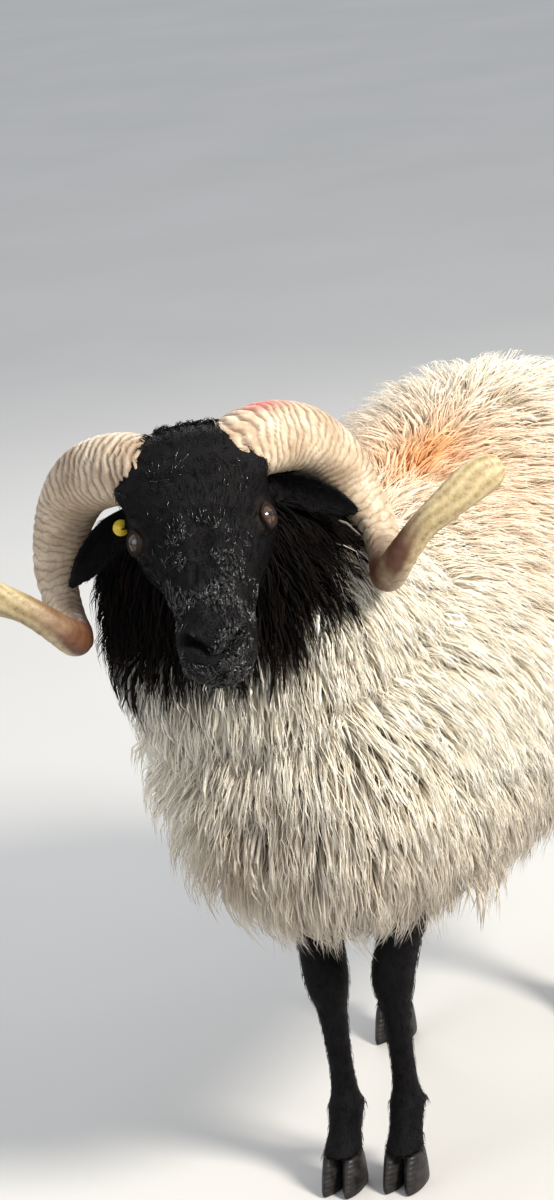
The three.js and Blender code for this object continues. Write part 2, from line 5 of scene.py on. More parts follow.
import bpy
import numpy as np
from mathutils import Matrix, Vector
from mathutils.kdtree import KDTree


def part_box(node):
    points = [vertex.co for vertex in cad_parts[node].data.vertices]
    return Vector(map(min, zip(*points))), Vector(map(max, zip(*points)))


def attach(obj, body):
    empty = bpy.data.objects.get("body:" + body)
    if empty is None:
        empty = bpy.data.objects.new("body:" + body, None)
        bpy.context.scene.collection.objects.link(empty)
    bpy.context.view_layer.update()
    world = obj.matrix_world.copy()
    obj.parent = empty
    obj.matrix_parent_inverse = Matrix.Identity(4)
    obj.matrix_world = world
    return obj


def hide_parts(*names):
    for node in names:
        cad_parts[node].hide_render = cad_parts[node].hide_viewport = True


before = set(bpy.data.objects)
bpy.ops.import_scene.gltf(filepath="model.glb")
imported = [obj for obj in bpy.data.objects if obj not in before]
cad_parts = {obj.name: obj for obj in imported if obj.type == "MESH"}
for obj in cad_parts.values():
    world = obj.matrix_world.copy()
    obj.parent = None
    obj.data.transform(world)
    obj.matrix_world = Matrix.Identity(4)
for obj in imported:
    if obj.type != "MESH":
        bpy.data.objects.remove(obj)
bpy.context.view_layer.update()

# Shapes are given in the millimetres of the ram's own design, and SHIFT moves them onto the frame.
POLL = np.array([-45.0, -415.0, 934.0])
HEAD_YAW = math.radians(25)
NOSE_DROP = math.radians(46)
HEAD_ROLL = math.radians(5)
FLEECE = 72.0
EYE = np.array([94.0, -27.0, 63.0])
EYE_RADIUS = 15.0
EYE_SLANT = 0.16
# The lids' opening: half its length, and its height above and below the middle.
EYE_OPENING = (10.8, 10.2, 8.6)
MUZZLE_BEND = -7.0
X = np.array([1.0, 0.0, 0.0])
Y = np.array([0.0, 1.0, 0.0])
Z = np.array([0.0, 0.0, 1.0])


def unit(v):
    v = np.asarray(v, float)
    return v / np.maximum(np.linalg.norm(v, axis=-1, keepdims=True), 1e-9)


def turned(v, axis, angle):
    cos, sin = math.cos(angle), math.sin(angle)
    return v * cos + np.cross(axis, v) * sin + axis * np.dot(axis, v) * (1 - cos)


ahead = np.array([math.sin(HEAD_YAW), -math.cos(HEAD_YAW), 0.0])
sideways = np.array([math.cos(HEAD_YAW), math.sin(HEAD_YAW), 0.0])
HEAD_U = turned(ahead * math.cos(NOSE_DROP) - Z * math.sin(NOSE_DROP), ahead, HEAD_ROLL)
HEAD_V = turned(ahead * math.sin(NOSE_DROP) + Z * math.cos(NOSE_DROP), ahead, HEAD_ROLL)
HEAD_W = turned(sideways, ahead, HEAD_ROLL)


def on_head(u, v, w):
    return POLL + np.multiply.outer(u, HEAD_U) + np.multiply.outer(v, HEAD_V) + np.multiply.outer(w, HEAD_W)


def head_axes(points):
    rel = points - POLL
    return rel @ HEAD_U, rel @ HEAD_V, rel @ HEAD_W


def folded_axes(points):
    """Places on the head's axes, with the right side folded onto the left."""
    u, v, w = head_axes(points)
    return np.stack([u, v, np.abs(w)], 1)


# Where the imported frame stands, read from the left eye's place.
eye_low, eye_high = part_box("eye_left")
SHIFT = np.array((eye_low + eye_high) / 2) * 1000 - on_head(*EYE)


def smooth_table(rows, t):
    """Each row's numbers read smoothly at shares t of the table's length."""
    rows = np.asarray(rows, float)
    at = np.clip(t, 0, 1) * (len(rows) - 1)
    i = np.minimum(at.astype(int), len(rows) - 2)
    f = (at - i)[:, None]
    a, b, c, d = rows[np.maximum(i - 1, 0)], rows[i], rows[i + 1], rows[np.minimum(i + 2, len(rows) - 1)]
    slope_b, slope_c = (c - a) / 2, (d - b) / 2
    return (
        (2 * f**3 - 3 * f**2 + 1) * b + (f**3 - 2 * f**2 + f) * slope_b
        + (3 * f**2 - 2 * f**3) * c + (f**3 - f**2) * slope_c
    )


def stations(table, rings):
    """A table read at even shares of its length, one row for each of its columns."""
    return smooth_table(table, np.linspace(0, 1, rings)).T


def outline(centre, across, along, half, up, down, power, turns):
    """Points of rounded outlines round centres: one row of points for each centre."""
    c, s = np.cos(turns), np.sin(turns)
    x = np.sign(c) * np.abs(c) ** (2 / power) * half[:, None]
    y = np.sign(s) * np.abs(s) ** (2 / power) * np.where(s > 0, up[:, None], down[:, None])
    across = np.broadcast_to(across, centre.shape)[:, None, :]
    along = np.broadcast_to(along, centre.shape)[:, None, :]
    return centre[:, None, :] + across * x[..., None] + along * y[..., None]


def loft(rings):
    """A closed surface through rows of points, with a fan over each end."""
    count, sides = rings.shape[:2]
    points = np.concatenate([rings.reshape(-1, 3), rings[:1].mean(1), rings[-1:].mean(1)])
    middle = rings.reshape(-1, 3).mean(0)
    r, s = np.meshgrid(np.arange(count - 1), np.arange(sides), indexing="ij")
    a, b = r * sides + s, r * sides + (s + 1) % sides
    walls = np.stack([a, b, b + sides, a + sides], -1).reshape(-1, 4)
    s = np.arange(sides)
    first, last = count * sides, count * sides + 1
    low = np.stack([np.full(sides, first), (s + 1) % sides, s], 1)
    top = (count - 1) * sides
    high = np.stack([np.full(sides, last), top + s, top + (s + 1) % sides], 1)
    caps = np.concatenate([low, high])
    faces = np.concatenate([walls[:, [0, 1, 2]], walls[:, [0, 2, 3]], caps])
    corner = points[faces] - middle
    volume = (corner[:, 0] * np.cross(corner[:, 1], corner[:, 2])).sum()
    # Turned round if it was wound inwards.
    return points, [walls, caps] if volume > 0 else [walls[:, ::-1], caps[:, ::-1]]


def ring_angles(sides):
    return np.arange(sides) / sides * 2 * np.pi


# Head outline: [u, top v, widest v, bottom v, half width].
HEAD_STATIONS = [
    [-44, -56, -84, -112, 30],
    [-34, -31, -78, -128, 50],
    [-14, -9, -70, -142, 64],
    [15, 3, -60, -148, 71],
    [50, 8, -52, -150, 76],
    [80, 8, -44, -145, 77],
    [102, 7, -42, -137, 71],
    [128, 8, -45, -121, 57],
    [160, 7, -46, -105, 47],
    [195, 2, -44, -93, 40],
    [222, -5, -43, -87, 39],
    [240, -15, -46, -80, 35],
    [251, -28, -50, -72, 26],
    [255, -38, -52, -64, 14],
]
# Trunk: [x, y, middle z, half width, up, down] of the flesh.
TORSO_STATIONS = [
    [0, -345, 552, 12, 12, 16],
    [0, -332, 550, 78, 70, 108],
    [0, -278, 550, 116, 116, 150],
    [0, -180, 552, 144, 150, 170],
    [0, -80, 556, 160, 164, 182],
    [4, 40, 562, 172, 176, 184],
    [14, 150, 576, 176, 192, 182],
    [26, 255, 594, 168, 202, 170],
    [36, 345, 612, 140, 172, 146],
    [40, 392, 624, 86, 104, 100],
    [41, 406, 628, 14, 14, 14],
]
# Neck: [x, y, z, half width, half depth, wool depth].
NECK_STATIONS = [
    [-8, -140, 565, 114, 135, 72],
    [-20, -215, 640, 115, 126, 70],
    [-38, -278, 712, 110, 108, 64],
    [-53, -324, 780, 97, 92, 54],
    [-56, -355, 830, 76, 74, 40],
    [-58, -372, 860, 56, 52, 22],
]
NECK_ROOT = (-8, -140, 565)
NECK_TILT = math.radians(38)
NECK_ALONG = np.array([0, math.cos(NECK_TILT), math.sin(NECK_TILT)])
# Legs: [x, y, z, half width, half depth], for the left side.
FORELEG = [
    [80, -160, 470, 46, 66],
    [72, -172, 410, 38, 52],
    [60, -190, 350, 31, 40],
    [47, -212, 295, 26, 31],
    [40, -222, 262, 25.5, 28],
    [38, -224, 238, 23, 25],
    [37, -222, 212, 17, 19],
    [36.5, -219, 160, 14, 16],
    [36, -217, 115, 15, 17],
    [36, -218, 92, 21, 22],
    [36, -224, 76, 19.5, 21],
    [36, -233, 59, 20, 21],
    [36, -242, 42, 24, 27],
]
HINDLEG = [
    [88, 285, 550, 62, 96],
    [88, 295, 455, 52, 76],
    [89, 312, 380, 36, 52],
    [90, 330, 320, 24, 37],
    [90, 336, 284, 21.5, 35],
    [90, 335, 256, 21.5, 31],
    [90, 329, 229, 18, 23],
    [90, 322, 186, 15, 18],
    [90, 314, 140, 15, 17],
    [90, 306, 106, 18, 19],
    [90, 301, 90, 21.5, 22],
    [90, 294, 74, 20, 21.5],
    [90, 286, 58, 19.5, 21],
    [90, 277, 42, 23.5, 26.5],
]
JOINT_HEIGHT = 262
# How each leg stands: [stations, side, how far out, how far forward].
STANCE = {
    "foreleg_left": (FORELEG, 1, -3, -8),
    "foreleg_right": (FORELEG, -1, 0, 12),
    "hindleg_left": (HINDLEG, 1, 18, 15),
    "hindleg_right": (HINDLEG, -1, 44, 112),
}
# Tail: [y, z, half width, half depth] of its flesh and core of wool.
TAIL_X = 41.0
TAIL_STATIONS = [
    [372, 704, 30, 20],
    [432, 706, 32, 20],
    [480, 674, 32, 20],
    [498, 612, 30, 18],
    [501, 542, 26, 16],
    [496, 472, 20, 14],
    [491, 432, 12, 10],
]
# Horns: [turn in degrees, distance out, reach, half width, half depth, share of the distance on the right].
HORN_STATIONS = [
    [-44, 18, 74, 23, 29, 1],
    [-24, 52, 82, 34, 36, 1],
    [0, 88, 83, 37, 38, 1],
    [22, 121, 82, 34.5, 35, 0.98],
    [57, 153, 80, 31, 31, 0.97],
    [89, 170, 78, 26, 27, 0.97],
    [112, 181, 76, 21, 23, 0.93],
    [140, 184, 79, 19, 21, 0.89],
    [175, 181, 83, 18, 19, 0.86],
    [205, 193, 80, 16, 17, 0.86],
    [232, 222, 73, 15, 14, 0.87],
    [250, 255, 71, 18, 12, 0.88],
    [263, 284, 68, 20.5, 11, 0.88],
    [270, 307, 66, 18, 9.5, 0.89],
    [272, 318, 65, 10, 5, 0.89],
]
# Lumps on the skull, on the head's axes: place and reach of each.
FOREHEAD = ((52, -17, 0), (70, 45, 76))
HORN_CUSHION = ((31, 5, 0), (41, 38, 77))
BROW_CUSHION = ((46, -2, 0), (46, 34, 82))
# The horns turn round a line across the head, and the ears are placed from it too.
HORN_AXIS = (71.0, -69.0)
FACE_LEAN = math.radians(29)
HORN_UP = -HEAD_U * math.cos(FACE_LEAN) + HEAD_V * math.sin(FACE_LEAN)
HORN_BACK = -HEAD_U * math.sin(FACE_LEAN) - HEAD_V * math.cos(FACE_LEAN)
# Ears: [share of the length, half width, cup depth, thickness].
EAR_STATIONS = [
    [0, 9, 7, 9],
    [0.16, 14, 9, 7],
    [0.38, 20, 8, 5.5],
    [0.6, 20, 6, 5],
    [0.8, 15, 4, 4.5],
    [0.93, 8, 2, 3.5],
    [1, 2.5, 0.5, 2],
]
# Root and tip of each ear, up, back and out from the horns' axis, and the way its cup faces.
EARS = {1: ((38, 28, 52), (-14, 8, 166)), -1: ((38, 28, 52), (-30, 6, 152))}
EAR_CUP = (-0.35, -1.0)
# Claws: [z, half width, reach ahead, reach behind].
CLAW_STATIONS = [
    [0, 10.6, 36, 25],
    [5, 11.6, 36.5, 26],
    [22, 11.4, 30, 25],
    [36, 10.4, 23, 23],
    [41.6, 9.4, 19, 20],
]
CLAW_APART = 12.3
SIDES = (("left", 1), ("right", -1))


def by_horn(up, back, out):
    return on_head(HORN_AXIS[0], HORN_AXIS[1], 0) + HORN_UP * up + HORN_BACK * back + HEAD_W * out


def torso_points(rings, turns):
    x, y, z, half, up, down = stations(TORSO_STATIONS, rings)
    return outline(np.stack([x, y, z], 1), X, Z, half, up, down, 2.3, turns)


def neck_points(rings, turns):
    x, y, z, half, depth, _ = stations(NECK_STATIONS, rings)
    return outline(np.stack([x, y, z], 1), X, NECK_ALONG, half, depth, depth, 2.1, turns)


def head_points(rings, turns):
    u, top, wide, bottom, half = stations(HEAD_STATIONS, rings)
    centre = on_head(u, wide, np.zeros_like(u))
    return outline(centre, HEAD_W, HEAD_V, half, top - wide, wide - bottom, 2.25, turns)


def leg_points(name, rings, turns):
    table, side, out, forward = STANCE[name]
    x, y, z, half, depth = stations(table, rings)
    # The leg leans to its stance down to the knee or hock, and stands straight below.
    share = np.minimum((table[0][2] - z) / (table[0][2] - JOINT_HEIGHT), 1)
    centre = np.stack([side * (x + out * share), y - forward * share, z], 1)
    return outline(centre, X, Y, half, depth, depth, 2.2, turns)


def tail_points(rings, turns):
    y, z, half, depth = stations(TAIL_STATIONS, rings)
    centre = np.stack([np.full_like(y, TAIL_X), y, z], 1)
    cross = unit(np.cross(np.gradient(centre, axis=0), X))
    return outline(centre, X, cross, half, depth, depth, 2.1, turns)


def ear_frame(side):
    """An ear's root, its way to the tip, its length, the way its cup faces and the way across it."""
    root, tip = EARS[side]
    start = by_horn(root[0], root[1], side * root[2])
    along = by_horn(tip[0], tip[1], side * tip[2]) - start
    length = np.linalg.norm(along)
    along = along / length
    face = HORN_UP * EAR_CUP[0] + HORN_BACK * EAR_CUP[1]
    face = unit(face - along * np.dot(face, along))
    return start, along, length, face, np.cross(face, along)


def ear_points(side, rings=40, arc=13):
    start, along, length, face, across = ear_frame(side)
    share, half, cup, thick = stations(EAR_STATIONS, rings)
    middle = start + np.outer(share * length, along) + np.outer(np.sin(share * np.pi) * 8, HORN_UP)
    s = np.linspace(-1, 1, arc)
    bowl = -cup[:, None] * (1 - s**2)
    spread = middle[:, None] + across * (s * half[:, None])[..., None]
    back = spread + face * (bowl - thick[:, None] / 2)[..., None]
    front = spread + face * (bowl + thick[:, None] / 2)[..., None]
    return np.concatenate([back, front[:, ::-1]], 1)


def ball(centre, axes, radii, rings=24, sides=32):
    polar = np.linspace(0.04, math.pi - 0.04, rings)
    turns = ring_angles(sides)
    local = np.stack([
        np.outer(np.sin(polar), np.cos(turns)) * radii[0],
        np.outer(np.sin(polar), np.sin(turns)) * radii[1],
        np.outer(np.cos(polar), np.ones(sides)) * radii[2],
    ], -1)
    return loft(centre + local @ np.array(axes))


# Meshes.
def linked(name, data):
    obj = bpy.data.objects.new(name, data)
    bpy.context.scene.collection.objects.link(obj)
    return obj


def read_all(items, field, kind=np.int32, width=1):
    """One field of all of a mesh's items."""
    values = np.empty(len(items) * width, kind)
    items.foreach_get(field, values)
    return values


def new_mesh(name, points, faces, smooth=True):
    """A mesh object from millimetre points and arrays of faces."""
    mesh = bpy.data.meshes.new(name)
    parts = [np.asarray(f, np.int32) for f in faces if len(f)]
    corners = np.concatenate([f.ravel() for f in parts])
    sizes = np.concatenate([np.full(len(f), f.shape[1], np.int32) for f in parts])
    starts = np.concatenate([[0], np.cumsum(sizes)[:-1]]).astype(np.int32)
    mesh.vertices.add(len(points))
    mesh.vertices.foreach_set("co", ((points + SHIFT) / 1000).astype(np.float32).ravel())
    mesh.loops.add(len(corners))
    mesh.loops.foreach_set("vertex_index", corners)
    mesh.polygons.add(len(sizes))
    mesh.polygons.foreach_set("loop_start", starts)
    mesh.update(calc_edges=True)
    mesh.validate()
    mesh.polygons.foreach_set("use_smooth", np.full(len(mesh.polygons), smooth))
    return linked(name, mesh)


def joined(parts):
    """Several (points, face arrays) as one."""
    points, faces, offset = [], [], 0
    for part_points, part_faces in parts:
        points.append(part_points)
        faces.extend(f + offset for f in part_faces if len(f))
        offset += len(part_points)
    return np.concatenate(points), faces


def remeshed(parts, voxel):
    """The shared outer surface of overlapping closed forms, as millimetre points and quads."""
    obj = new_mesh("draft", *joined(parts))
    remesh = obj.modifiers.new("remesh", "REMESH")
    remesh.mode = "VOXEL"
    remesh.voxel_size = voxel / 1000
    made = bpy.data.meshes.new_from_object(obj.evaluated_get(bpy.context.evaluated_depsgraph_get()))
    points = read_all(made.vertices, "co", np.float32, 3)
    corners = read_all(made.loops, "vertex_index")
    draft = obj.data
    bpy.data.objects.remove(obj)
    bpy.data.meshes.remove(draft)
    bpy.data.meshes.remove(made)
    return points.reshape(-1, 3).astype(float) * 1000 - SHIFT, corners.reshape(-1, 4)


def add_up(total, index, values):
    """Adds each row of values to the row of total that its index names."""
    for axis in range(3):
        total[:, axis] += np.bincount(index, values[:, axis], len(total))


def neighbours_mean(points, quads):
    """The mean place of the points that share an edge with each point."""
    total = np.zeros_like(points)
    count = np.zeros(len(points))
    for k in range(4):
        a, b = quads[:, k], quads[:, (k + 1) % 4]
        for one, other in ((a, b), (b, a)):
            add_up(total, one, points[other])
            count += np.bincount(one, minlength=len(points))
    return total / np.maximum(count, 1)[:, None]


def smoothed(points, quads, rounds, amount=0.5):
    for _ in range(rounds):
        points = points + (neighbours_mean(points, quads) - points) * amount
    return points


def vertex_normals(points, quads):
    a, b, c, d = (points[quads[:, k]] for k in range(4))
    cross = np.cross(c - a, d - b)
    total = np.zeros_like(points)
    for k in range(4):
        add_up(total, quads[:, k], cross)
    return unit(total)


def split_quads(points, quads, chosen):
    """Cuts the chosen quads in four. The faces round them gain the new corners on their shared edges."""
    edges = np.sort(np.stack([quads, np.roll(quads, -1, 1)], -1).reshape(-1, 2), axis=1)
    unique, which = np.unique(edges, axis=0, return_inverse=True)
    which = which.reshape(-1, 4)
    cut = np.zeros(len(unique), bool)
    cut[which[chosen].ravel()] = True
    number = np.full(len(unique), -1)
    number[cut] = len(points) + np.arange(cut.sum())
    mids = points[unique[cut]].mean(1)
    centres = points[quads[chosen]].mean(1)
    centre_number = len(points) + len(mids) + np.arange(chosen.sum())
    corner, middle = quads[chosen], number[which[chosen]]
    new = [
        np.stack([corner[:, k], middle[:, k], centre_number, middle[:, (k + 3) % 4]], 1)
        for k in range(4)
    ]
    rest = quads[~chosen]
    rest_middle = number[which[~chosen]]
    plain = (rest_middle < 0).all(1)
    ragged = [
        [v for k in range(4) for v in ((c[k], m[k]) if m[k] >= 0 else (c[k],))]
        for c, m in zip(rest[~plain].tolist(), rest_middle[~plain].tolist())
    ]
    return np.concatenate([points, mids, centres]), np.concatenate([rest[plain]] + new), ragged


def distance_to_path(points, path):
    """How far points are from a line through places, and the share along it where each is nearest."""
    path = np.asarray(path, float)
    best = np.full(len(points), 1e9)
    share = np.zeros(len(points))
    for k in range(len(path) - 1):
        a, b = path[k], path[k + 1]
        f = np.clip(((points - a) @ (b - a)) / np.dot(b - a, b - a), 0, 1)
        d = np.linalg.norm(points - a - f[:, None] * (b - a), axis=1)
        near = d < best
        best[near] = d[near]
        share[near] = (k + f[near]) / (len(path) - 1)
    return best, share


def away_from(path, points):
    return distance_to_path(points, path)[0]


def step(low, high, value):
    """0 below low and 1 above high, with a soft change between."""
    t = np.clip((value - low) / (high - low), 0, 1)
    return t * t * (3 - 2 * t)


def blob(points, centre, reach):
    """1 at the centre, fading over its own reach along x, y and z."""
    return np.exp(-(((points - centre) / reach) ** 2).sum(1))


def waves(points, scale, seed):
    """A soft wandering value, mostly from -1 to 1."""
    draw = np.random.default_rng(seed)
    total = np.zeros(len(points))
    for k in range(5):
        way = unit(draw.normal(size=3)) * (1 + 0.5 * k) / scale
        total += np.sin(points @ way + draw.uniform(0, 2 * math.pi)) / (1 + 0.4 * k)
    return total / 2.4


def eye_axes(side):
    """The outward direction, the long way of the lids' opening and the way up across it."""
    out = unit(0.12 * HEAD_U + 0.58 * HEAD_V + 0.80 * side * HEAD_W)
    long = unit(HEAD_U - out * np.dot(HEAD_U, out))
    up = unit(HEAD_V - out * np.dot(HEAD_V, out) - long * np.dot(HEAD_V, long))
    # The inner corner of the opening dips towards the nose.
    return out, unit(long - EYE_SLANT * up), unit(up + EYE_SLANT * long)


def eye_place(side):
    return on_head(EYE[0], EYE[1], side * EYE[2])


def eye_opening(points, side):
    """1 on the rim of the lids' opening and less inside it, the way up across it, and the way out."""
    out, long, up = eye_axes(side)
    rel = points - eye_place(side)
    a, b = rel @ long, rel @ up
    # The opening is an almond: its corners are pointed, and its upper edge is the more arched.
    half, above, below = EYE_OPENING
    metric = (np.abs(a / half) ** 1.8 + np.abs(b / np.where(b > 0, above, below)) ** 1.9) ** 0.55
    return metric, b, rel @ out


# Lines on the head's axes.
NOSTRIL = [(243, -20, 4), (240, -16.5, 10), (235, -13, 17), (229, -14, 24), (224, -16, 29)]
NOSTRIL_FLOOR = [(249, -30, 7), (246, -27, 15), (239, -25, 25)]
MOUTH = [(188, -76, 40), (215, -70, 40), (238, -57, 33), (250, -49, 18), (255, -45, 0)]
# A notch in the hair beside the middle of the bridge.
NOTCH = [(152, 7, -12), (170, 5, -14)]
PHILTRUM = [(244, -20, 0), (252, -32, 0), (256, -42, 0)]
# Moves along the face: [path, height, width].
FACE_FORMS = [
    (PHILTRUM, -2.2, 2.0),
    (NOSTRIL_FLOOR, 1.8, 4.0),
    ([(112, -30, 62), (134, -38, 54)], -4.6, 5.5),
    ([(118, -18, 60), (142, -26, 50)], 2.0, 5.0),
    ([(140, -66, 50), (182, -62, 44)], -3.4, 15.0),
    ([(95, -86, 66), (150, -76, 52)], 3.0, 10.0),
    ([(100, 10, 18), (196, 3, 14)], 2.4, 8.0),
    ([(60, 9, 0), (150, 9, 0)], -1.8, 10.0),
    ([(60, -118, 58), (130, -100, 48)], 2.8, 14.0),
    ([(206, -38, 40), (236, -42, 35)], 3.0, 9.0),
    ([(226, -80, 20), (251, -64, 10)], 3.4, 9.0),
]
# Folds of the lids, out from their rim: [place, width, height, what the upper lid adds to it].
LID_FOLDS = [(1.25, 0.22, 1.0, 1.8), (1.75, 0.18, -1.2, -1.3), (2.25, 0.3, 1.6, 1.2)]
LID_THICKNESS = 1.5
SUNK_IN_BALL = 4.5


def groove(distance, width):
    return np.exp(-((distance / width) ** 2))


def face_detail(points, normals):
    """The head's finer forms, as moves of its skin."""
    u, v, w = head_axes(points)
    folded = folded_axes(points)
    move = np.zeros(len(points))
    nostril, share = distance_to_path(folded, NOSTRIL)
    # The slit opens wide at its outer end, with a rolled wing round it.
    move += 2.6 * groove(nostril - 8, 4.5) - (9.0 + 5.0 * share) * groove(nostril, 2.3 + 2.6 * share)
    mouth, share = distance_to_path(folded, MOUTH)
    move += 2.2 * groove(mouth - 6.5, 3.8) * step(0, 0.3, share) - 5.6 * groove(mouth, 1.9)
    for path, height, width in FACE_FORMS:
        move += height * groove(away_from(path, folded), width)
    move -= 4.5 * groove(away_from(NOTCH, np.stack([u, v, w], 1)), 3.6)
    # Loose skin wrinkles over the nose and round the lips.
    wrinkles = np.sin(u / 2.6 + 3 * waves(points, 14, 12)) * step(196, 214, u) * (1 - step(226, 238, u))
    move += 0.5 * wrinkles * (v > -40)
    moved = points + normals * move[:, None]
    # Lids close over the ball round the opening, and the skin is sunk inside the ball within it.
    for side in (1, -1):
        centre = eye_place(side)
        metric, above, outwards = eye_opening(moved, side)
        rel = moved - centre
        near = (outwards > 0) & (metric < 3.4)
        reach = np.linalg.norm(rel, axis=1)
        upper = step(-3, 3, above)
        lid = EYE_RADIUS + LID_THICKNESS
        for place, width, height, added in LID_FOLDS:
            lid = lid + (height + added * upper) * groove(metric - place, width)
        hug = 1 - step(1.3, 3.1, metric)
        wanted = reach * (1 - hug) + np.minimum(lid, reach + 5) * hug
        inside = 1 - step(0.92, 1.06, metric)
        wanted = wanted * (1 - inside) + (EYE_RADIUS - SUNK_IN_BALL) * inside
        moved = np.where(near[:, None], centre + unit(rel) * wanted[:, None], moved)
    # The muzzle is held a little to the right.
    bend = MUZZLE_BEND * step(130, 260, u)
    return moved + bend[:, None] * HEAD_W


# Dewclaws: how far they reach along each of three ways.
DEWCLAW = (6, 6.5, 11)
DEWCLAW_WAYS = (X, unit([0, 1, -0.5]), unit([0, 0.5, 1]))


# The skin: one surface for the trunk, neck, legs and tail, and a finer one for the head and ears,
# which meet deep under the ruff.
def body_forms():
    wide = ring_angles(64)
    forms = [loft(torso_points(60, wide)), loft(neck_points(40, wide))]
    forms += [loft(leg_points(name, 90, ring_angles(32))) for name in STANCE]
    forms.append(loft(tail_points(40, ring_angles(24))))
    for table, side, out, forward in STANCE.values():
        # The dewclaws behind each fetlock.
        x, y, z = table[-4][:3]
        for lean in (-1, 1):
            centre = np.array([side * (x + out) + lean * 11, y - forward + 21, z - 6])
            forms.append(ball(centre, DEWCLAW_WAYS, DEWCLAW, 12, 14))
    return forms


def head_forms():
    forms = [loft(head_points(90, ring_angles(64)))]
    axes = (HEAD_U, HEAD_V, HEAD_W)
    for place, radii in (FOREHEAD, HORN_CUSHION, BROW_CUSHION):
        forms.append(ball(on_head(*place), axes, radii, 40, 56))
    for side in (1, -1):
        brow = on_head(EYE[0] - 4, EYE[1] + 2, side * (EYE[2] - 5))
        forms.append(ball(brow, axes, (27, 19, 19)))
        forms.append(loft(ear_points(side)))
        start, along, _, face, across = ear_frame(side)
        forms.append(ball(start + along * 8, (along, face, across), (26, 14, 17)))
    return forms


BODY_GRAIN = 5.5
HEAD_GRAIN = 2.6
SMOOTHING = 3
DOME_SMOOTHING = 34
body_skin, body_quads = remeshed(body_forms(), BODY_GRAIN)
body_skin = smoothed(body_skin, body_quads, SMOOTHING)
head_skin, head_quads = remeshed(head_forms(), HEAD_GRAIN)
head_skin = smoothed(head_skin, head_quads, SMOOTHING)
# The forehead's lumps melt into one dome.
u, v, w = head_axes(head_skin)
dome = (1 - step(80, 125, u)) * step(-36, -14, v) * (1 - step(68, 84, np.abs(w)))
head_skin = smoothed(head_skin, head_quads, DOME_SMOOTHING, dome[:, None] * 0.5)
# Finer quads where the face is finest.
folded = folded_axes(head_skin[head_quads].mean(1))
fine = (away_from(NOSTRIL, folded) < 13) | (away_from(MOUTH, folded) < 6)
fine |= np.linalg.norm(folded - (EYE[0], EYE[1], EYE[2] + 10), axis=1) < 26
head_skin, head_quads, ragged = split_quads(head_skin, head_quads, fine)
head_skin = face_detail(head_skin, vertex_normals(head_skin, head_quads))


# The map: each region of the skin is unrolled round its own axis into its own part.
def along_axis(points, start, end):
    """Each point's turn round a line, from 0 to 1, and its share along the line."""
    line = np.asarray(end, float) - np.asarray(start, float)
    axis = unit(line)
    rel = points - np.asarray(start, float)
    share = rel @ axis / np.linalg.norm(line)
    side = unit(np.cross(axis, X if abs(axis[0]) < 0.9 else Y))
    turn = np.arctan2(rel @ np.cross(axis, side), rel @ side) / (2 * np.pi) + 0.5
    return turn, share


LEG_NAMES = list(STANCE)
REGIONS = ["torso", "neck", "head", "ear_left", "ear_right", "tail"] + LEG_NAMES
NECK, HEAD, EAR_LEFT, EAR_RIGHT, TAIL, FIRST_LEG = range(1, 7)
# Left, bottom, width and height of each region's part.
SHEETS = {
    "torso": (0.02, 0.02, 0.60, 0.44),
    "neck": (0.65, 0.02, 0.33, 0.30),
    "head": (0.02, 0.50, 0.44, 0.46),
    "ear_left": (0.50, 0.50, 0.11, 0.18),
    "ear_right": (0.64, 0.50, 0.11, 0.18),
    "tail": (0.78, 0.50, 0.18, 0.18),
}
for name, left in zip(LEG_NAMES, (0.50, 0.63, 0.76, 0.88)):
    SHEETS[name] = (left, 0.74, 0.11, 0.22)


def leg_line(name):
    """A leg's line for the map, from its top to the floor."""
    table, side, out, forward = STANCE[name]
    top, low = table[0], table[-1]
    return (
        np.array([side * top[0], top[1], 470.0]),
        np.array([side * (low[0] + out), low[1] - forward, 0.0]),
    )


def region_of(points, on_head_mesh):
    """The number in REGIONS of the region that each point of the skin belongs to."""
    region = np.zeros(len(points), int)
    if on_head_mesh:
        region[:] = HEAD
        for number, side in ((EAR_LEFT, 1), (EAR_RIGHT, -1)):
            start, along, length, _, _ = ear_frame(side)
            near = away_from([start, start + along * length], points) < 32
            region[near & ((points - start) @ along > 16)] = number
        return region
    neck_way = unit([-50, -232, 295])
    region[(points - NECK_ROOT) @ neck_way > 150] = NECK
    path = [(TAIL_X, y, z) for y, z, _, _ in TAIL_STATIONS[1:]]
    region[(away_from(path, points) < 48) & (points[:, 1] > 440)] = TAIL
    for number, name in enumerate(LEG_NAMES):
        mine = (points[:, 2] < 385) & (np.sign(points[:, 0]) == STANCE[name][1])
        mine &= (points[:, 1] < 0) == name.startswith("fore")
        region[mine] = FIRST_LEG + number
    return region


def unwrapped(points, region):
    """Each point's turn round its region's axis and share along it."""
    ends = {
        "torso": ((0, -360, 560), (40, 430, 610)),
        "neck": (NECK_ROOT, (-62, -400, 900)),
        "head": (on_head(-60, -60, 0), on_head(262, -60, 0)),
        "tail": ((TAIL_X, 440, 720), (TAIL_X, 500, 400)),
    }
    for label, side in SIDES:
        start, along, length, _, _ = ear_frame(side)
        ends[f"ear_{label}"] = (start, start + along * (length + 4))
    for name in LEG_NAMES:
        ends[name] = leg_line(name)
    turn, share = np.zeros(len(points)), np.zeros(len(points))
    for number, name in enumerate(REGIONS):
        mine = region == number
        if mine.any():
            turn[mine], share[mine] = along_axis(points[mine], *ends[name])
    return turn, np.clip(share, 0, 1)


def on_sheet(turn, share, region):
    sheet = np.array([SHEETS[name] for name in REGIONS])[region]
    return np.stack([sheet[..., 0] + turn * sheet[..., 2], sheet[..., 1] + share * sheet[..., 3]], -1)


# Markings, the same for skin and coat.
RUFF_WAY = np.array([-0.10, -0.59, 0.81])
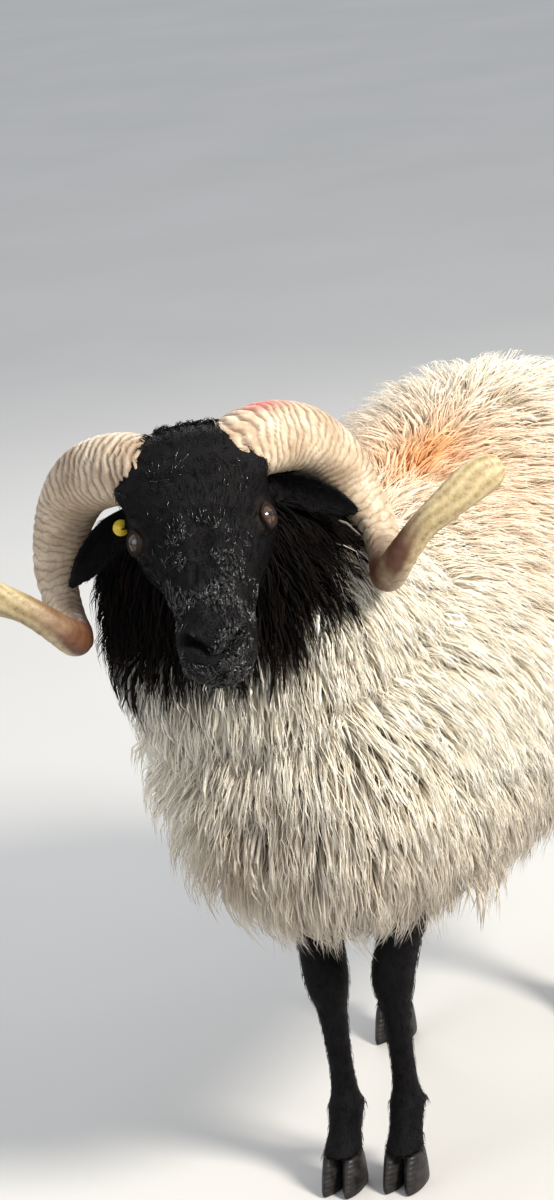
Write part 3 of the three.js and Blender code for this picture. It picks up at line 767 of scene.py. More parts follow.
# How far along that way the ruff's black begins and is full, and how each side shifts it.
RUFF_EDGE = (790, 814)
LOWER_ON_RIGHT = (36, 26)
HIGHER_ON_LEFT = 30
# The raddle's middle, and how strong its core and its halo are.
RADDLE = np.array([36.0, 66, 778])
RADDLE_CORE = 0.58
RADDLE_HALO = 0.34


def blackness(points, jitter=0.0):
    """1 where the coat is black: the ruff behind the head, and the legs."""
    height = points @ RUFF_WAY + 12 * waves(points, 24, 3) + jitter
    # The black runs lower on the right of the throat than in its middle, and ends sooner on the left.
    right = step(70, 150, -points[:, 0]) * (points[:, 1] < -230)
    left = step(10, 90, points[:, 0])
    low, high = (
        edge - lower * right + HIGHER_ON_LEFT * left for edge, lower in zip(RUFF_EDGE, LOWER_ON_RIGHT)
    )
    ruff = step(low, high, height)
    legs = 1 - step(322, 350, points[:, 2] + 9 * waves(points, 20, 4) + jitter * 0.3)
    return np.maximum(ruff, legs)


def raddle(points):
    """Orange marking fluid: strong on the back behind the shoulders, thinning to peach down the side."""
    rel = points - RADDLE
    core = np.exp(-((rel[:, 0] / 46) ** 2 + (rel[:, 1] / 60) ** 2) * (1 + 0.3 * waves(points, 18, 5)))
    below = np.minimum(rel[:, 2] + 10, 0)
    halo = np.exp(-((rel[:, 0] / 190) ** 2 + ((rel[:, 1] + 20) / 150) ** 2 + (below / 170) ** 2))
    return np.clip(RADDLE_CORE * core + RADDLE_HALO * halo, 0, 1) * (points[:, 2] > 560)


def soiling(points):
    """Earth-brown staining: low on the breast, the belly's edge, under the tail and at the leg tops."""
    low = 1 - step(370, 520, points[:, 2] + 30 * waves(points, 60, 6))
    breast = blob(points, (-40, -400, 480), (80, 70, 110))
    tail = blob(points, (TAIL_X, 470, 470), (90, 90, 120))
    return np.clip(0.5 * low + 0.4 * breast + 0.5 * tail, 0, 1)


# Skin.
def put(mesh, **values):
    """Numbers for each vertex, which the materials read by these names."""
    for name, numbers in values.items():
        layer = mesh.attributes.new(name, "FLOAT", "POINT")
        layer.data.foreach_set("value", numbers.astype(np.float32))


def put_map(mesh, places):
    layer = mesh.uv_layers.new(name="OFBake")
    layer.uv.foreach_set("vector", places.astype(np.float32).ravel())


def skin_object():
    count = len(body_skin)
    points = np.concatenate([body_skin, head_skin])
    faces = [body_quads, head_quads + count]
    for size in sorted({len(f) for f in ragged}):
        faces.append(np.array([f for f in ragged if len(f) == size]) + count)
    skin = new_mesh("skin", points, faces)
    mesh = skin.data
    region = np.concatenate([region_of(body_skin, False), region_of(head_skin, True)])
    corners = read_all(mesh.loops, "vertex_index")
    sizes = read_all(mesh.polygons, "loop_total")
    starts = np.cumsum(sizes) - sizes
    face_of = np.repeat(np.arange(len(sizes)), sizes)
    loop_region = region[corners[starts]][face_of]
    turn, share = unwrapped(points[corners], loop_region)
    # A face across the unrolling's seam keeps its corners together, past the sheet's edge.
    low = np.minimum.reduceat(turn, starts)[face_of]
    high = np.maximum.reduceat(turn, starts)[face_of]
    turn = np.where((high - low > 0.5) & (turn < 0.5), turn + 1, turn)
    put_map(mesh, on_sheet(turn, share, loop_region))
    of_head = (np.arange(len(points)) >= count) * 1.0
    # The raddle is read where the wool's surface is, well above the flesh.
    put(
        mesh, black=np.maximum(blackness(points), of_head), raddle=raddle(points + (0, 0, 60)),
        soiling=soiling(points),
    )
    u, v, w = head_axes(points)
    nose = step(226, 246, u + 0.3 * (v + 40) - 4 * waves(points, 9, 7)) * of_head
    bridge = step(60, 130, u) * groove(w, 34) * step(-60, -10, v)
    lids = np.zeros(len(points))
    for side in (1, -1):
        metric, _, outwards = eye_opening(points, side)
        lids = np.maximum(lids, (outwards > 0) * (1 - step(1.1, 2.4, metric)))
    put(mesh, nose=nose, sleek=np.maximum(nose, bridge * of_head), lids=lids)
    return skin


# Coat: tapered three-sided locks, each along its own path.
MARKING_JITTER = 12
LOCK_PATCH = 0.003
ROOT_DEPTH = 2.0
CRIMP_TURNS = (1.1, 1.9)
SHOULDER_GAIN = 0.62
TAIL_LOSS = 0.66


class Surface:
    """A mesh's triangles, to draw roots on."""

    def __init__(self, points, quads, on_head_mesh):
        self.points = points
        self.tris = np.concatenate([quads[:, [0, 1, 2]], quads[:, [0, 2, 3]]])
        self.normals = vertex_normals(points, quads)
        a, b, c = (points[self.tris[:, k]] for k in range(3))
        self.areas = np.linalg.norm(np.cross(b - a, c - a), axis=1) / 2
        self.middles = (a + b + c) / 3
        self.on_head_mesh = on_head_mesh

    def draw(self, density, count, seed):
        """Root points and normals, as thick on the surface as density says."""
        rng = np.random.default_rng(seed)
        weight = self.areas * density
        wanted = (np.arange(count) + rng.random(count)) / count
        pick = np.searchsorted(np.cumsum(weight) / weight.sum(), wanted)
        pick = np.minimum(pick, len(weight) - 1)
        one, two = rng.random(count), rng.random(count)
        flip = one + two > 1
        one[flip], two[flip] = 1 - one[flip], 1 - two[flip]
        corner = self.tris[pick]
        share = np.stack([1 - one - two, one, two], 1)[..., None]
        roots = (self.points[corner] * share).sum(1)
        return roots, unit((self.normals[corner] * share).sum(1))


def nearest(points, guides):
    tree = KDTree(len(guides))
    for i, place in enumerate(guides):
        tree.insert(place, i)
    tree.balance()
    return np.array([tree.find(p)[1] for p in points])


def bent_away(way, normals):
    """A direction laid along the surface."""
    return unit(way - normals * (way * normals).sum(1, keepdims=True))


def strand_paths(roots, normals, lie, length, height, rings, droop):
    """Points along each lock: it rises off the skin first, then lies along it and sags."""
    t = np.linspace(0, 1, rings)[None, :, None]
    run = np.sqrt(np.maximum(length**2 - height**2, (0.35 * length) ** 2))
    rise = height[:, None, None] * (1 - (1 - t) ** 2.4)
    path = roots[:, None, :] + normals[:, None, :] * rise + lie[:, None, :] * run[:, None, None] * t**1.5
    return path - Z * (droop * length[:, None, None] * t**2.2)


def locks(paths, widths, flatness, rng):
    """Closed three-sided tapered meshes along paths. Returns points, faces, share along and lock number."""
    count, rings = paths.shape[:2]
    tangent = unit(np.gradient(paths, axis=1))
    spin = unit(rng.normal(size=(count, 1, 3)))
    across = unit(np.cross(tangent, spin))
    other = np.cross(tangent, across)
    t = np.linspace(0, 1, rings)
    taper = np.minimum(0.75 + 0.9 * t, 1) * np.clip(1.02 - t**1.7, 0, 1) ** 0.8
    turns = np.arange(3) * 2 * np.pi / 3
    girth = (widths[:, None] * taper)[..., None, None]
    ring = (
        across[:, :, None, :] * np.cos(turns)[:, None] * girth
        + other[:, :, None, :] * (np.sin(turns) * flatness)[:, None] * girth
    )
    body = (paths[:, :-1, None, :] + ring[:, :-1]).reshape(count, -1, 3)
    points = np.concatenate([body, paths[:, -1:]], 1)
    each = points.shape[1]
    walls = []
    for r in range(rings - 2):
        for k in range(3):
            a, b = r * 3 + k, r * 3 + (k + 1) % 3
            walls.append([a, b, b + 3, a + 3])
    top = (rings - 2) * 3
    ends = [[top + k, top + (k + 1) % 3, each - 1] for k in range(3)] + [[0, 2, 1]]
    offset = (np.arange(count) * each)[:, None, None]
    quads = (np.array(walls)[None] + offset).reshape(-1, 4) if walls else np.zeros((0, 4), int)
    tris = (np.array(ends)[None] + offset).reshape(-1, 3)
    share = np.concatenate([np.repeat(t[:-1], 3), [1.0]])
    return points.reshape(-1, 3), [quads, tris], np.tile(share, count), np.repeat(np.arange(count), each)


def coat_piece(name, paths, roots, region, widths, seed, flatness, black):
    """One joined mesh of locks. Where black is None they have the markings of the skin at their roots."""
    rng = np.random.default_rng(seed)
    points, faces, share, owner = locks(paths, widths, flatness, rng)
    obj = new_mesh(name, points, faces)
    mesh = obj.data
    tone = rng.random(len(roots))
    if black is None:
        black = blackness(roots, rng.normal(0, MARKING_JITTER, len(roots)))
    put(
        mesh, share=share, tone=tone[owner], black=black[owner], raddle=raddle(points),
        soiling=soiling(points),
    )
    # Each lock has a small patch of the map, where its root is.
    place = on_sheet(*unwrapped(roots, region), region)
    patch = np.stack([(np.arange(len(points)) % 3) / 2, share], 1) * LOCK_PATCH
    put_map(mesh, (place[owner] + patch)[read_all(mesh.loops, "vertex_index")])
    return obj


def wool_depth(points):
    """How far the fleece stands off the flesh: furthest on the right shoulder, where it is pushed out."""
    share = distance_to_path(points, [row[:3] for row in NECK_STATIONS])[1]
    wool = smooth_table([row[5:] for row in NECK_STATIONS], share)[:, 0]
    neck = step(0.02, 0.12, share) * (points[:, 1] < -150)
    depth = FLEECE * (1 - neck) + wool * neck
    bulge = blob(points, (-130, -300, 615), (100, 140, 190))
    # The tail's own form holds most of its wool.
    tail = step(425, 465, points[:, 1])
    depth = depth * (1 + SHOULDER_GAIN * bulge) * (1 - TAIL_LOSS * tail)
    # The wool runs out down the legs.
    z = points[:, 2]
    on_leg = (z > 290) & (z < 400)
    return np.where(on_leg, depth * np.maximum(step(330, 470, z), 0.15), depth)


def hang(points, normals, rng):
    """The way the fleece falls: down and a little back, parted along the spine."""
    spine = np.interp(points[:, 1], [-345, 40, 405], [0, 4, 41])
    off = np.clip((points[:, 0] - spine) / 60, -1, 1)
    top = np.clip(normals[:, 2], 0, 1)
    way = np.zeros_like(points)
    way[:, 0] = off * top * 0.9
    way[:, 1] = 0.16 * step(-300, -120, points[:, 1]) + 0.5 * top
    way[:, 2] = -1.0
    wander = np.stack([waves(points, 45, 30 + k) for k in range(3)], 1)
    way += rng.normal(0, 0.14, way.shape) + 0.14 * wander
    return bent_away(way, normals)


def grow(
    surface, density, guides, count, seed, length, height, rings, clump, wave, droop=0.0,
    lie=hang, depth=wool_depth,
):
    """Paths of locks gathered round guides, with their roots and the region of each root.

    Heights are shares of the depth of wool, and clump is how far a lock is drawn to its guide.
    """
    rng = np.random.default_rng(seed)
    guide_roots, guide_normals = surface.draw(density, guides, seed + 1)
    roots, normals = surface.draw(density, count, seed + 2)
    which = nearest(roots, guide_roots)
    own_length = length * (1 + rng.normal(0, 0.13, guides))
    own_height = rng.uniform(*height, guides)
    deep = depth(guide_roots)
    # Locks are shorter where the wool is thin.
    reach = np.minimum(own_length * (0.45 + 0.55 * deep / FLEECE), own_length)
    high = np.minimum(deep * own_height, reach * 0.93)
    guide_lie = lie(guide_roots, guide_normals, rng)
    guide_paths = strand_paths(guide_roots, guide_normals, guide_lie, reach, high, rings, droop)
    fine = 1 + rng.normal(0, 0.10, count)
    own_lie = bent_away(unit(guide_lie[which] + rng.normal(0, 0.10, (count, 3))), normals)
    own_high = high[which] * np.clip(fine, 0, 1.05)
    paths = strand_paths(roots, normals, own_lie, reach[which] * fine, own_high, rings, droop)
    t = np.linspace(0, 1, rings)
    pull = clump * t[:, None] ** 1.3 * np.clip(rng.normal(1, 0.18, count), 0.3, 1.25)[:, None, None]
    paths = paths + (guide_paths[which] - paths) * np.clip(pull, 0, 1)
    # Crimp: shared by a tuft, with a little of each lock's own.
    phase = rng.uniform(0, 2 * np.pi, (guides, 2))[which] + rng.normal(0, 0.5, (count, 2))
    across = unit(np.cross(own_lie, normals))
    turns = rng.uniform(*CRIMP_TURNS, count)
    bend, lift = (np.sin(start[:, None] + 2 * np.pi * turns[:, None] * t) * t for start in phase.T)
    paths = paths + across[:, None, :] * (bend * wave)[..., None]
    paths = paths + normals[:, None, :] * (lift * wave * 0.5)[..., None]
    paths[:, 0] -= normals * ROOT_DEPTH
    return paths, roots, region_of(roots, surface.on_head_mesh)


# Materials.
class Paint:
    """A material's node tree in short calls. A constant goes straight onto the socket that it feeds."""

    def __init__(self, name):
        self.material = bpy.data.materials.new(name)
        self.material.use_nodes = True
        self.tree = self.material.node_tree
        self.tree.nodes.clear()
        self.output = self.tree.nodes.new("ShaderNodeOutputMaterial")

    def node(self, kind, settings=None, **inputs):
        made = self.tree.nodes.new(kind)
        for key, value in (settings or {}).items():
            setattr(made, key, value)
        for key, value in inputs.items():
            self.feed(made.inputs[key.replace("_", " ")], value)
        return made

    def feed(self, socket, value):
        if isinstance(value, bpy.types.NodeSocket):
            self.tree.links.new(value, socket)
        elif isinstance(value, tuple) and len(value) == 3 and socket.type == "RGBA":
            socket.default_value = (*value, 1)
        else:
            socket.default_value = value

    def read(self, name):
        return self.node("ShaderNodeAttribute", {"attribute_name": name}).outputs["Fac"]

    def place(self):
        return self.node("ShaderNodeTexCoord").outputs["Object"]

    def noise(self, scale, detail=3.0, roughness=0.55, vector=None):
        made = self.node("ShaderNodeTexNoise", Scale=scale, Detail=detail, Roughness=roughness)
        self.feed(made.inputs["Vector"], vector or self.place())
        return made.outputs["Fac"]

    def sums(self, operation, a, b, clamp=False):
        made = self.tree.nodes.new("ShaderNodeMath")
        made.operation = operation
        made.use_clamp = clamp
        self.feed(made.inputs[0], a)
        self.feed(made.inputs[1], b)
        return made.outputs[0]

    def times(self, a, b):
        return self.sums("MULTIPLY", a, b)

    def mix(self, factor, a, b, blend="MIX"):
        made = self.tree.nodes.new("ShaderNodeMix")
        made.data_type = "RGBA"
        made.blend_type = blend
        self.feed(made.inputs[0], factor)
        self.feed(made.inputs[6], a)
        self.feed(made.inputs[7], b)
        return made.outputs[2]

    def ramp(self, factor, stops):
        made = self.tree.nodes.new("ShaderNodeValToRGB")
        self.feed(made.inputs[0], factor)
        while len(made.color_ramp.elements) < len(stops):
            made.color_ramp.elements.new(0.5)
        for element, (at, colour) in zip(made.color_ramp.elements, stops):
            element.position = at
            element.color = (*colour, 1) if isinstance(colour, tuple) else (colour, colour, colour, 1)
        return made.outputs[0]

    def bumps(self, *rows):
        """Bumps laid one over another, each a height, its strength and its distance."""
        normal = None
        for height, strength, distance in rows:
            made = self.node("ShaderNodeBump", Strength=strength, Distance=distance, Height=height)
            if normal:
                self.feed(made.inputs["Normal"], normal)
            normal = made.outputs["Normal"]
        return normal

    def surface(self, colour, roughness, normal=None, through=0.0, **inputs):
        shader = self.node("ShaderNodeBsdfPrincipled", Base_Color=colour, Roughness=roughness, **inputs)
        if normal:
            self.feed(shader.inputs["Normal"], normal)
        out = shader.outputs[0]
        if through:
            glow = self.node("ShaderNodeBsdfTranslucent", Color=colour)
            both = self.node("ShaderNodeMixShader", Fac=through)
            self.feed(both.inputs[1], out)
            self.feed(both.inputs[2], glow.outputs[0])
            out = both.outputs[0]
        self.tree.links.new(out, self.output.inputs["Surface"])
        return self.material


WOOL_DEEP = (0.84, 0.76, 0.61)
WOOL_MIDDLE = (0.95, 0.91, 0.82)
WOOL_BRIGHT = (0.99, 0.98, 0.95)
BLACK_DEEP = (0.0035, 0.0030, 0.0032)
BROWN_TIP = (0.060, 0.031, 0.020)
BLACK_TIP = (0.008, 0.006, 0.006)
ORANGE = (1.0, 0.64, 0.32)
EARTH = (0.42, 0.29, 0.16)


def marked_colour(paint, wool, dark):
    """Wool colour with the raddle, the soiling and the black of the ruff and legs over it."""
    patchy = paint.noise(22.0)
    soiled = paint.times(paint.read("soiling"), patchy)
    colour = paint.mix(soiled, wool, EARTH)
    colour = paint.mix(paint.read("raddle"), colour, paint.mix(1.0, colour, ORANGE, "MULTIPLY"))
    return paint.mix(paint.read("black"), colour, dark)


def skin_paint():
    paint = Paint("black short hair and skin")
    hair = paint.node("ShaderNodeMapping", Vector=paint.place(), Scale=(1.0, 1.0, 0.35)).outputs[0]
    short = paint.noise(900.0, 2.0, 0.7, hair)
    broad = paint.noise(60.0, 4.0, 0.6)
    grain = paint.node("ShaderNodeTexVoronoi", Vector=paint.place(), Scale=520.0).outputs["Distance"]
    dark = paint.ramp(broad, [(0.3, (0.0012, 0.0012, 0.0018)), (0.75, (0.0042, 0.0036, 0.0040))])
    dark = paint.mix(paint.read("lids"), dark, (0.016, 0.0105, 0.0085))
    dark = paint.mix(paint.read("nose"), dark, (0.0040, 0.0040, 0.0050))
    wool = paint.ramp(broad, [(0.3, WOOL_DEEP), (0.7, WOOL_MIDDLE)])
    colour = marked_colour(paint, wool, dark)
    leather = paint.times(grain, paint.read("nose"))
    relief = paint.bumps((short, 0.8, 0.0016), (broad, 0.45, 0.003), (leather, 0.9, 0.0016))
    # The bridge of the nose and the muzzle are sleek and damp in patches.
    patches = paint.ramp(paint.noise(95.0), [(0.42, 0.0), (0.6, 1.0)])
    damp = paint.times(paint.read("sleek"), patches)
    wet = paint.ramp(damp, [(0.0, 0.52), (1.0, 0.20)])
    return paint.surface(colour, wet, relief, Specular_IOR_Level=0.08)


def coat_paint(name, rough, through, shine, tip):
    """Wool or hair: black locks end in the tip's colour, and through is how much light passes them."""
    paint = Paint(name)
    share, tone = paint.read("share"), paint.read("tone")
    streak = paint.noise(140.0, 2.0)
    light = paint.sums("ADD", paint.times(tone, 0.35), paint.times(share, 0.60), True)
    light = paint.sums("ADD", light, paint.times(streak, 0.2), True)
    wool = paint.ramp(light, [(0.12, WOOL_DEEP), (0.55, WOOL_MIDDLE), (1.0, WOOL_BRIGHT)])
    brown = paint.times(paint.sums("POWER", share, 3.0), tone)
    dark = paint.ramp(brown, [(0.0, BLACK_DEEP), (0.6, tuple(0.36 * c for c in tip)), (1.0, tip)])
    colour = marked_colour(paint, wool, dark)
    return paint.surface(colour, rough, None, through, Specular_IOR_Level=shine)


HORN_PALE = [(0.3, (0.27, 0.195, 0.130)), (0.5, (0.41, 0.32, 0.225)), (0.72, (0.54, 0.455, 0.345))]
HORN_END = [(0.25, (0.15, 0.105, 0.045)), (0.5, (0.30, 0.235, 0.115)), (0.75, (0.42, 0.35, 0.20))]
HORN_FLECK = (0.24, 0.155, 0.09)
HORN_CREASE = (0.085, 0.042, 0.022)
# Painted shade in a rust brown, for the inner face of each horn's lower bend.
HORN_INNER_SHADE = (0.075, 0.022, 0.008)
RED_MARKER = (0.36, 0.050, 0.045)


def horn_paint():
    paint = Paint("ridged horn")
    along, ridge = paint.read("along"), paint.read("ridge")
    stretched = paint.noise(26.0, 5.0, 0.6)
    fine = paint.noise(170.0, 4.0, 0.65)
    pale = paint.ramp(stretched, HORN_PALE)
    colour = paint.mix(paint.ramp(fine, [(0.36, 0.45), (0.52, 0.0)]), pale, HORN_FLECK)
    grain = paint.read("grain")
    streaked = paint.sums("ADD", paint.times(fine, 0.78), paint.times(grain, 0.22))
    end = paint.ramp(streaked, HORN_END)
    colour = paint.mix(paint.ramp(along, [(0.56, 0.0), (0.72, 0.9)]), colour, end)
    creased = paint.ramp(ridge, [(0.0, 0.95), (0.5, 0.5), (0.9, 0.0)])
    colour = paint.mix(creased, colour, HORN_CREASE)
    # Painted shade in a rust brown on the inner face of the lower bend.
    colour = paint.mix(paint.read("rust"), colour, HORN_INNER_SHADE)
    colour = paint.mix(paint.read("red"), colour, RED_MARKER)
    relief = paint.bumps((fine, 0.35, 0.0012), (stretched, 0.4, 0.003), (grain, 0.18, 0.0010))
    rough = paint.ramp(fine, [(0.3, 0.62), (0.7, 0.42)])
    return paint.surface(colour, rough, relief, Specular_IOR_Level=0.4)


def claw_paint():
    paint = Paint("dark claw")
    layers = paint.node(
        "ShaderNodeTexWave", {"bands_direction": "Z"}, Vector=paint.place(), Scale=60.0, Distortion=3.0
    )
    worn = paint.noise(90.0, 4.0)
    colour = paint.ramp(worn, [(0.3, (0.005, 0.005, 0.0055)), (0.7, (0.024, 0.021, 0.019))])
    relief = paint.bumps((layers.outputs["Fac"], 0.3, 0.0008), (worn, 0.3, 0.001))
    return paint.surface(colour, 0.42, relief, Specular_IOR_Level=0.2)


PUPIL = (5.2, 2.7)


def eye_paint():
    paint = Paint("amber eye with a level pupil")
    long, up, ring = paint.read("long"), paint.read("up"), paint.read("ring")
    rays = paint.noise(420.0, 4.0, 0.6)
    iris = paint.ramp(rays, [(0.25, (0.014, 0.007, 0.004)), (0.75, (0.065, 0.032, 0.016))])
    iris = paint.mix(paint.ramp(ring, [(0.62, 0.0), (0.80, 0.85)]), iris, (0.012, 0.006, 0.004))
    # The pupil is a rounded bar.
    wide, tall = (
        paint.sums("POWER", paint.sums("ABSOLUTE", paint.sums("DIVIDE", way, half), 0.0), 2.6)
        for way, half in ((long, PUPIL[0]), (up, PUPIL[1]))
    )
    pupil = paint.ramp(paint.sums("ADD", wide, tall), [(0.85, 1.0), (1.1, 0.0)])
    colour = paint.mix(pupil, iris, (0.002, 0.002, 0.003))
    return paint.surface(colour, 0.12, None, Specular_IOR_Level=0.3, Coat_Weight=0.5, Coat_Roughness=0.04)


def tag_paint():
    paint = Paint("yellow tag")
    dust = paint.noise(260.0, 4.0)
    colour = paint.ramp(dust, [(0.3, (0.62, 0.42, 0.03)), (0.7, (0.90, 0.66, 0.05))])
    return paint.surface(colour, 0.38, paint.bumps((dust, 0.2, 0.0004)))


def floor_paint():
    paint = Paint("pale floor")
    cloud = paint.noise(1.2, 2.0)
    colour = paint.ramp(cloud, [(0.3, (0.44, 0.435, 0.42)), (0.7, (0.47, 0.46, 0.45))])
    return paint.surface(colour, 0.8)


# Hard parts.
def with_ends(grid):
    """Values of a loft's rings, and the mean at each end for its two fans."""
    return np.concatenate([grid.ravel(), [grid[0].mean(), grid[-1].mean()]])


# How the ridges wander on a horn: [size, waves round it, millimetres along it to a radian].
RIDGE_WANDER = [(3.2, 2, 31), (2.2, 3, -17), (1.2, 7, 9), (0.7, 13, -6)]
# Widths of the ridges at the base, a third of the way and the tip.
RIDGE_WIDTHS = (8.5, 11.5, 17)


HORN_SEED = 21


def ridge_edges(length, side):
    """Where each ridge begins: close together at the base and wider apart towards the tip."""
    rng = np.random.default_rng(HORN_SEED + side)
    edges, at = [0.0], 0.0
    while at < length:
        at += rng.uniform(0.75, 1.25) * np.interp(at, [0, length * 0.35, length], RIDGE_WIDTHS)
        edges.append(at)
    return np.array(edges)


def horn_ridges(t, way, turns, side):
    """The ridges' relief, their tone, which is 0 in a crease, and how strong they are."""
    edges = ridge_edges(way[-1], side)
    wander = sum(
        size * np.sin(turns * around + way[:, None] / length) for size, around, length in RIDGE_WANDER
    )
    at = np.clip(way[:, None] + wander, 0, way[-1] - 1e-3)
    number = np.searchsorted(edges, at.ravel(), side="right") - 1
    low = edges[number].reshape(at.shape)
    high = edges[np.minimum(number + 1, len(edges) - 1)].reshape(at.shape)
    phase = np.clip((at - low) / np.maximum(high - low, 1e-6), 0, 1)
    # Each ridge is a steep swell with a thin crease behind it.
    swell = np.sin(phase**0.7 * np.pi) ** 0.8
    crease = groove(np.minimum(at - low, high - at), 1.45)
    strong = np.interp(t, [0, 0.45, 0.60, 0.72, 1], [1, 0.9, 0.5, 0.12, 0.05])[:, None]
    strong = strong * (0.74 + 0.26 * np.sin(turns))
    height = np.interp(t, [0, 0.5, 1], [2.6, 2.2, 0.8])[:, None]
    relief = ((swell - 0.6) * height - crease * 1.5) * strong
    tone = np.clip(1 - crease - 0.25 * (1 - swell), 0, 1)
    return relief, tone, strong


def horn_object(label, side, rings=300, sides=56):
    t = np.linspace(0, 1, rings)
    turn, out, reach, half, depth, right = stations(HORN_STATIONS, rings)
    spread = np.where(side > 0, 1, right)
    angle = np.radians(turn)
    middle = by_horn(0, 0, 0)
    centre = middle + np.outer(np.cos(angle) * reach, HORN_UP)
    centre = centre + np.outer(np.sin(angle) * reach, HORN_BACK)
    centre = centre + np.outer(side * out * spread, HEAD_W)
    along = unit(np.gradient(centre, axis=0))
    radial = np.outer(np.cos(angle), HORN_UP) + np.outer(np.sin(angle), HORN_BACK)
    radial = bent_away(radial, along)
    cross = np.cross(along, radial)
    way = np.concatenate([[0], np.cumsum(np.linalg.norm(np.diff(centre, axis=0), axis=1))])
    turns = ring_angles(sides)
    relief, tone, strong = horn_ridges(t, way, turns, side)
    rings_points = outline(centre, cross, radial, half, depth, depth, 2.2, turns)
    outward = unit(rings_points - centre[:, None, :])
    rings_points = rings_points + outward * relief[..., None]
    points, faces = loft(rings_points)
    obj = new_mesh(f"ridged_horn_{label}", points, faces)
    # The twisted end is grained along its length.
    grain = np.sin(turns * 9 + 2.2 * np.sin(way[:, None] / 38) + 1.3 * np.sin(way[:, None] / 13))
    put(
        obj.data, along=with_ends(np.repeat(t[:, None], sides, 1)),
        ridge=with_ends(tone * strong + (1 - strong)), grain=with_ends(grain * 0.5 + 0.5),
    )
    # A smear of red marking along the top of the left horn.
    rel = points - middle
    red = np.exp(-(((rel @ HEAD_W - 92) / 26) ** 2) - ((rel @ HORN_UP - 120) / 8) ** 2) * (side > 0)
    put(obj.data, red=np.clip(red * (0.8 + 0.6 * waves(points, 7, 8)), 0, 0.75))
    # Painted shade in a rust brown on the inner face of the lower bend, the side that faces the head.
    inner = step(-0.35, 0.35, -side * (outward @ HEAD_W))
    rust = with_ends(np.interp(t, [0.46, 0.56, 0.68, 0.76], [0, 1, 1, 0])[:, None] * inner)
    put(obj.data, rust=np.clip(rust * (0.95 + 0.4 * waves(points, 16, 9)), 0, 0.96))
    return obj


def eye_object(label, side):
    out, long, up = eye_axes(side)
    centre = eye_place(side)
    polar = np.linspace(0.02, math.pi - 0.02, 48)
    turns = ring_angles(64)
    reach = EYE_RADIUS * (1 + 0.05 * np.exp(-((polar / 0.5) ** 2)))
    a = np.outer(np.sin(polar) * EYE_RADIUS, np.cos(turns))
    b = np.outer(np.sin(polar) * EYE_RADIUS, np.sin(turns))
    c = np.outer(np.cos(polar) * reach, np.ones_like(turns))
    rings = centre + a[..., None] * long + b[..., None] * up + c[..., None] * out
    points, faces = loft(rings)
    obj = new_mesh(f"eyeball_{label}", points, faces)
    rel = points - centre
    # The pupil stays level with the ground.
    level = unit(np.cross(Z, out))
    put(obj.data, long=rel @ level, up=rel @ np.cross(out, level))
    radius = np.hypot(rel @ long, rel @ up)
    put(obj.data, ring=np.where(rel @ out > 0, radius / EYE_RADIUS, 1))
    return obj


def claw_object(name, part, sign, rings=26, sides=40):
    table, side, out, forward = STANCE[name]
    foot_x, foot_y = table[-1][:2]
    z, half, toe, heel = stations(CLAW_STATIONS, rings)
    turns = ring_angles(sides)
    front = np.sin(turns) < 0
    reach = np.where(front, toe[:, None], heel[:, None])
    narrow = np.where(front, 1 - 0.32 * np.sin(turns) ** 4, 1)
    y = np.sin(turns) * reach
    x = np.cos(turns) * half[:, None] * narrow - np.where(y < 0, sign * 0.04 * y, 0)
    # The sole's edge is rounded and the wall has faint growth rings.
    soft = 1 - 0.10 * np.exp(-z / 1.5)[:, None] + 0.006 * np.sin(z[:, None] * 1.1 + 0.6 * np.cos(turns))
    across = side * (foot_x + out + sign * CLAW_APART + x * soft)
    spot = np.stack([across, foot_y - forward + y * soft, np.repeat(z[:, None], sides, 1)], -1)
    return new_mesh(f"{name}_{part}_hoof", *loft(spot))


# The tag's button, pin and back: [radius, height, place along the pin].
TAG_DISCS = [(9, 2.6, 5.2), (2.2, 12, 0), (7, 2.4, -5.2)]


def tag_object():
    start, along, length, face, across = ear_frame(-1)
    at = start + along * length * 0.34 + HORN_UP * 7 - face * 6.5
    turns = ring_angles(40)
    parts = []
    for radius, height, lift in TAG_DISCS:
        bevel = min(0.7, height / 3)
        inside, low, high = radius - bevel, -height / 2, height / 2
        profile = [(inside, low), (radius, bevel + low), (radius, high - bevel), (inside, high)]
        # The two plates have a raised middle.
        if height < 3:
            profile.append((radius * 0.45, height / 2 - 0.3))
            profile.append((radius * 0.40, height / 2 + 0.3))
        rings = [
            at + face * (lift + h) + np.outer(np.cos(turns) * r, across)
            + np.outer(np.sin(turns) * r, along)
            for r, h in profile
        ]
        parts.append(loft(np.array(rings)))
    return new_mesh("yellow_tag", *joined(parts))


# The ram's pieces.
def placed(obj, material, slot_name, *nodes):
    obj.data.materials.append(material)
    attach(obj, "root")
    if nodes:
        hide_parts(*nodes)


placed(
    skin_object(), skin_paint(), "face_hair",
    "torso", "neck", "head", "tail", "ear_left", "ear_right", *LEG_NAMES,
)
horn_stuff, eye_stuff, claw_stuff = horn_paint(), eye_paint(), claw_paint()
for label, side in SIDES:
    placed(horn_object(label, side), horn_stuff, "horn", f"horn_{label}")
    placed(eye_object(label, side), eye_stuff, "eye", f"eye_{label}")
for name in LEG_NAMES:
    for part, sign in (("inner", -1), ("outer", 1)):
        node = name.replace("leg_", "_claw_") + f"_{part}"
        placed(claw_object(name, part, sign), claw_stuff, "claw", node)
placed(tag_object(), tag_paint(), "tag", "ear_tag")

body = Surface(body_skin, body_quads, False)
face = Surface(head_skin, head_quads, True)
wool_stuff = coat_paint("long white wool", 0.8, 0.55, 0.15, BROWN_TIP)
hair_stuff = coat_paint("short black hair", 0.38, 0.0, 0.07, BLACK_TIP)
damp_stuff = coat_paint("damp black hair", 0.22, 0.0, 1.0, BLACK_TIP)
LOCKS_IN_PIECE = 8000


def drawn(low, high, count, seed):
    return np.random.default_rng(seed).uniform(low, high, count)


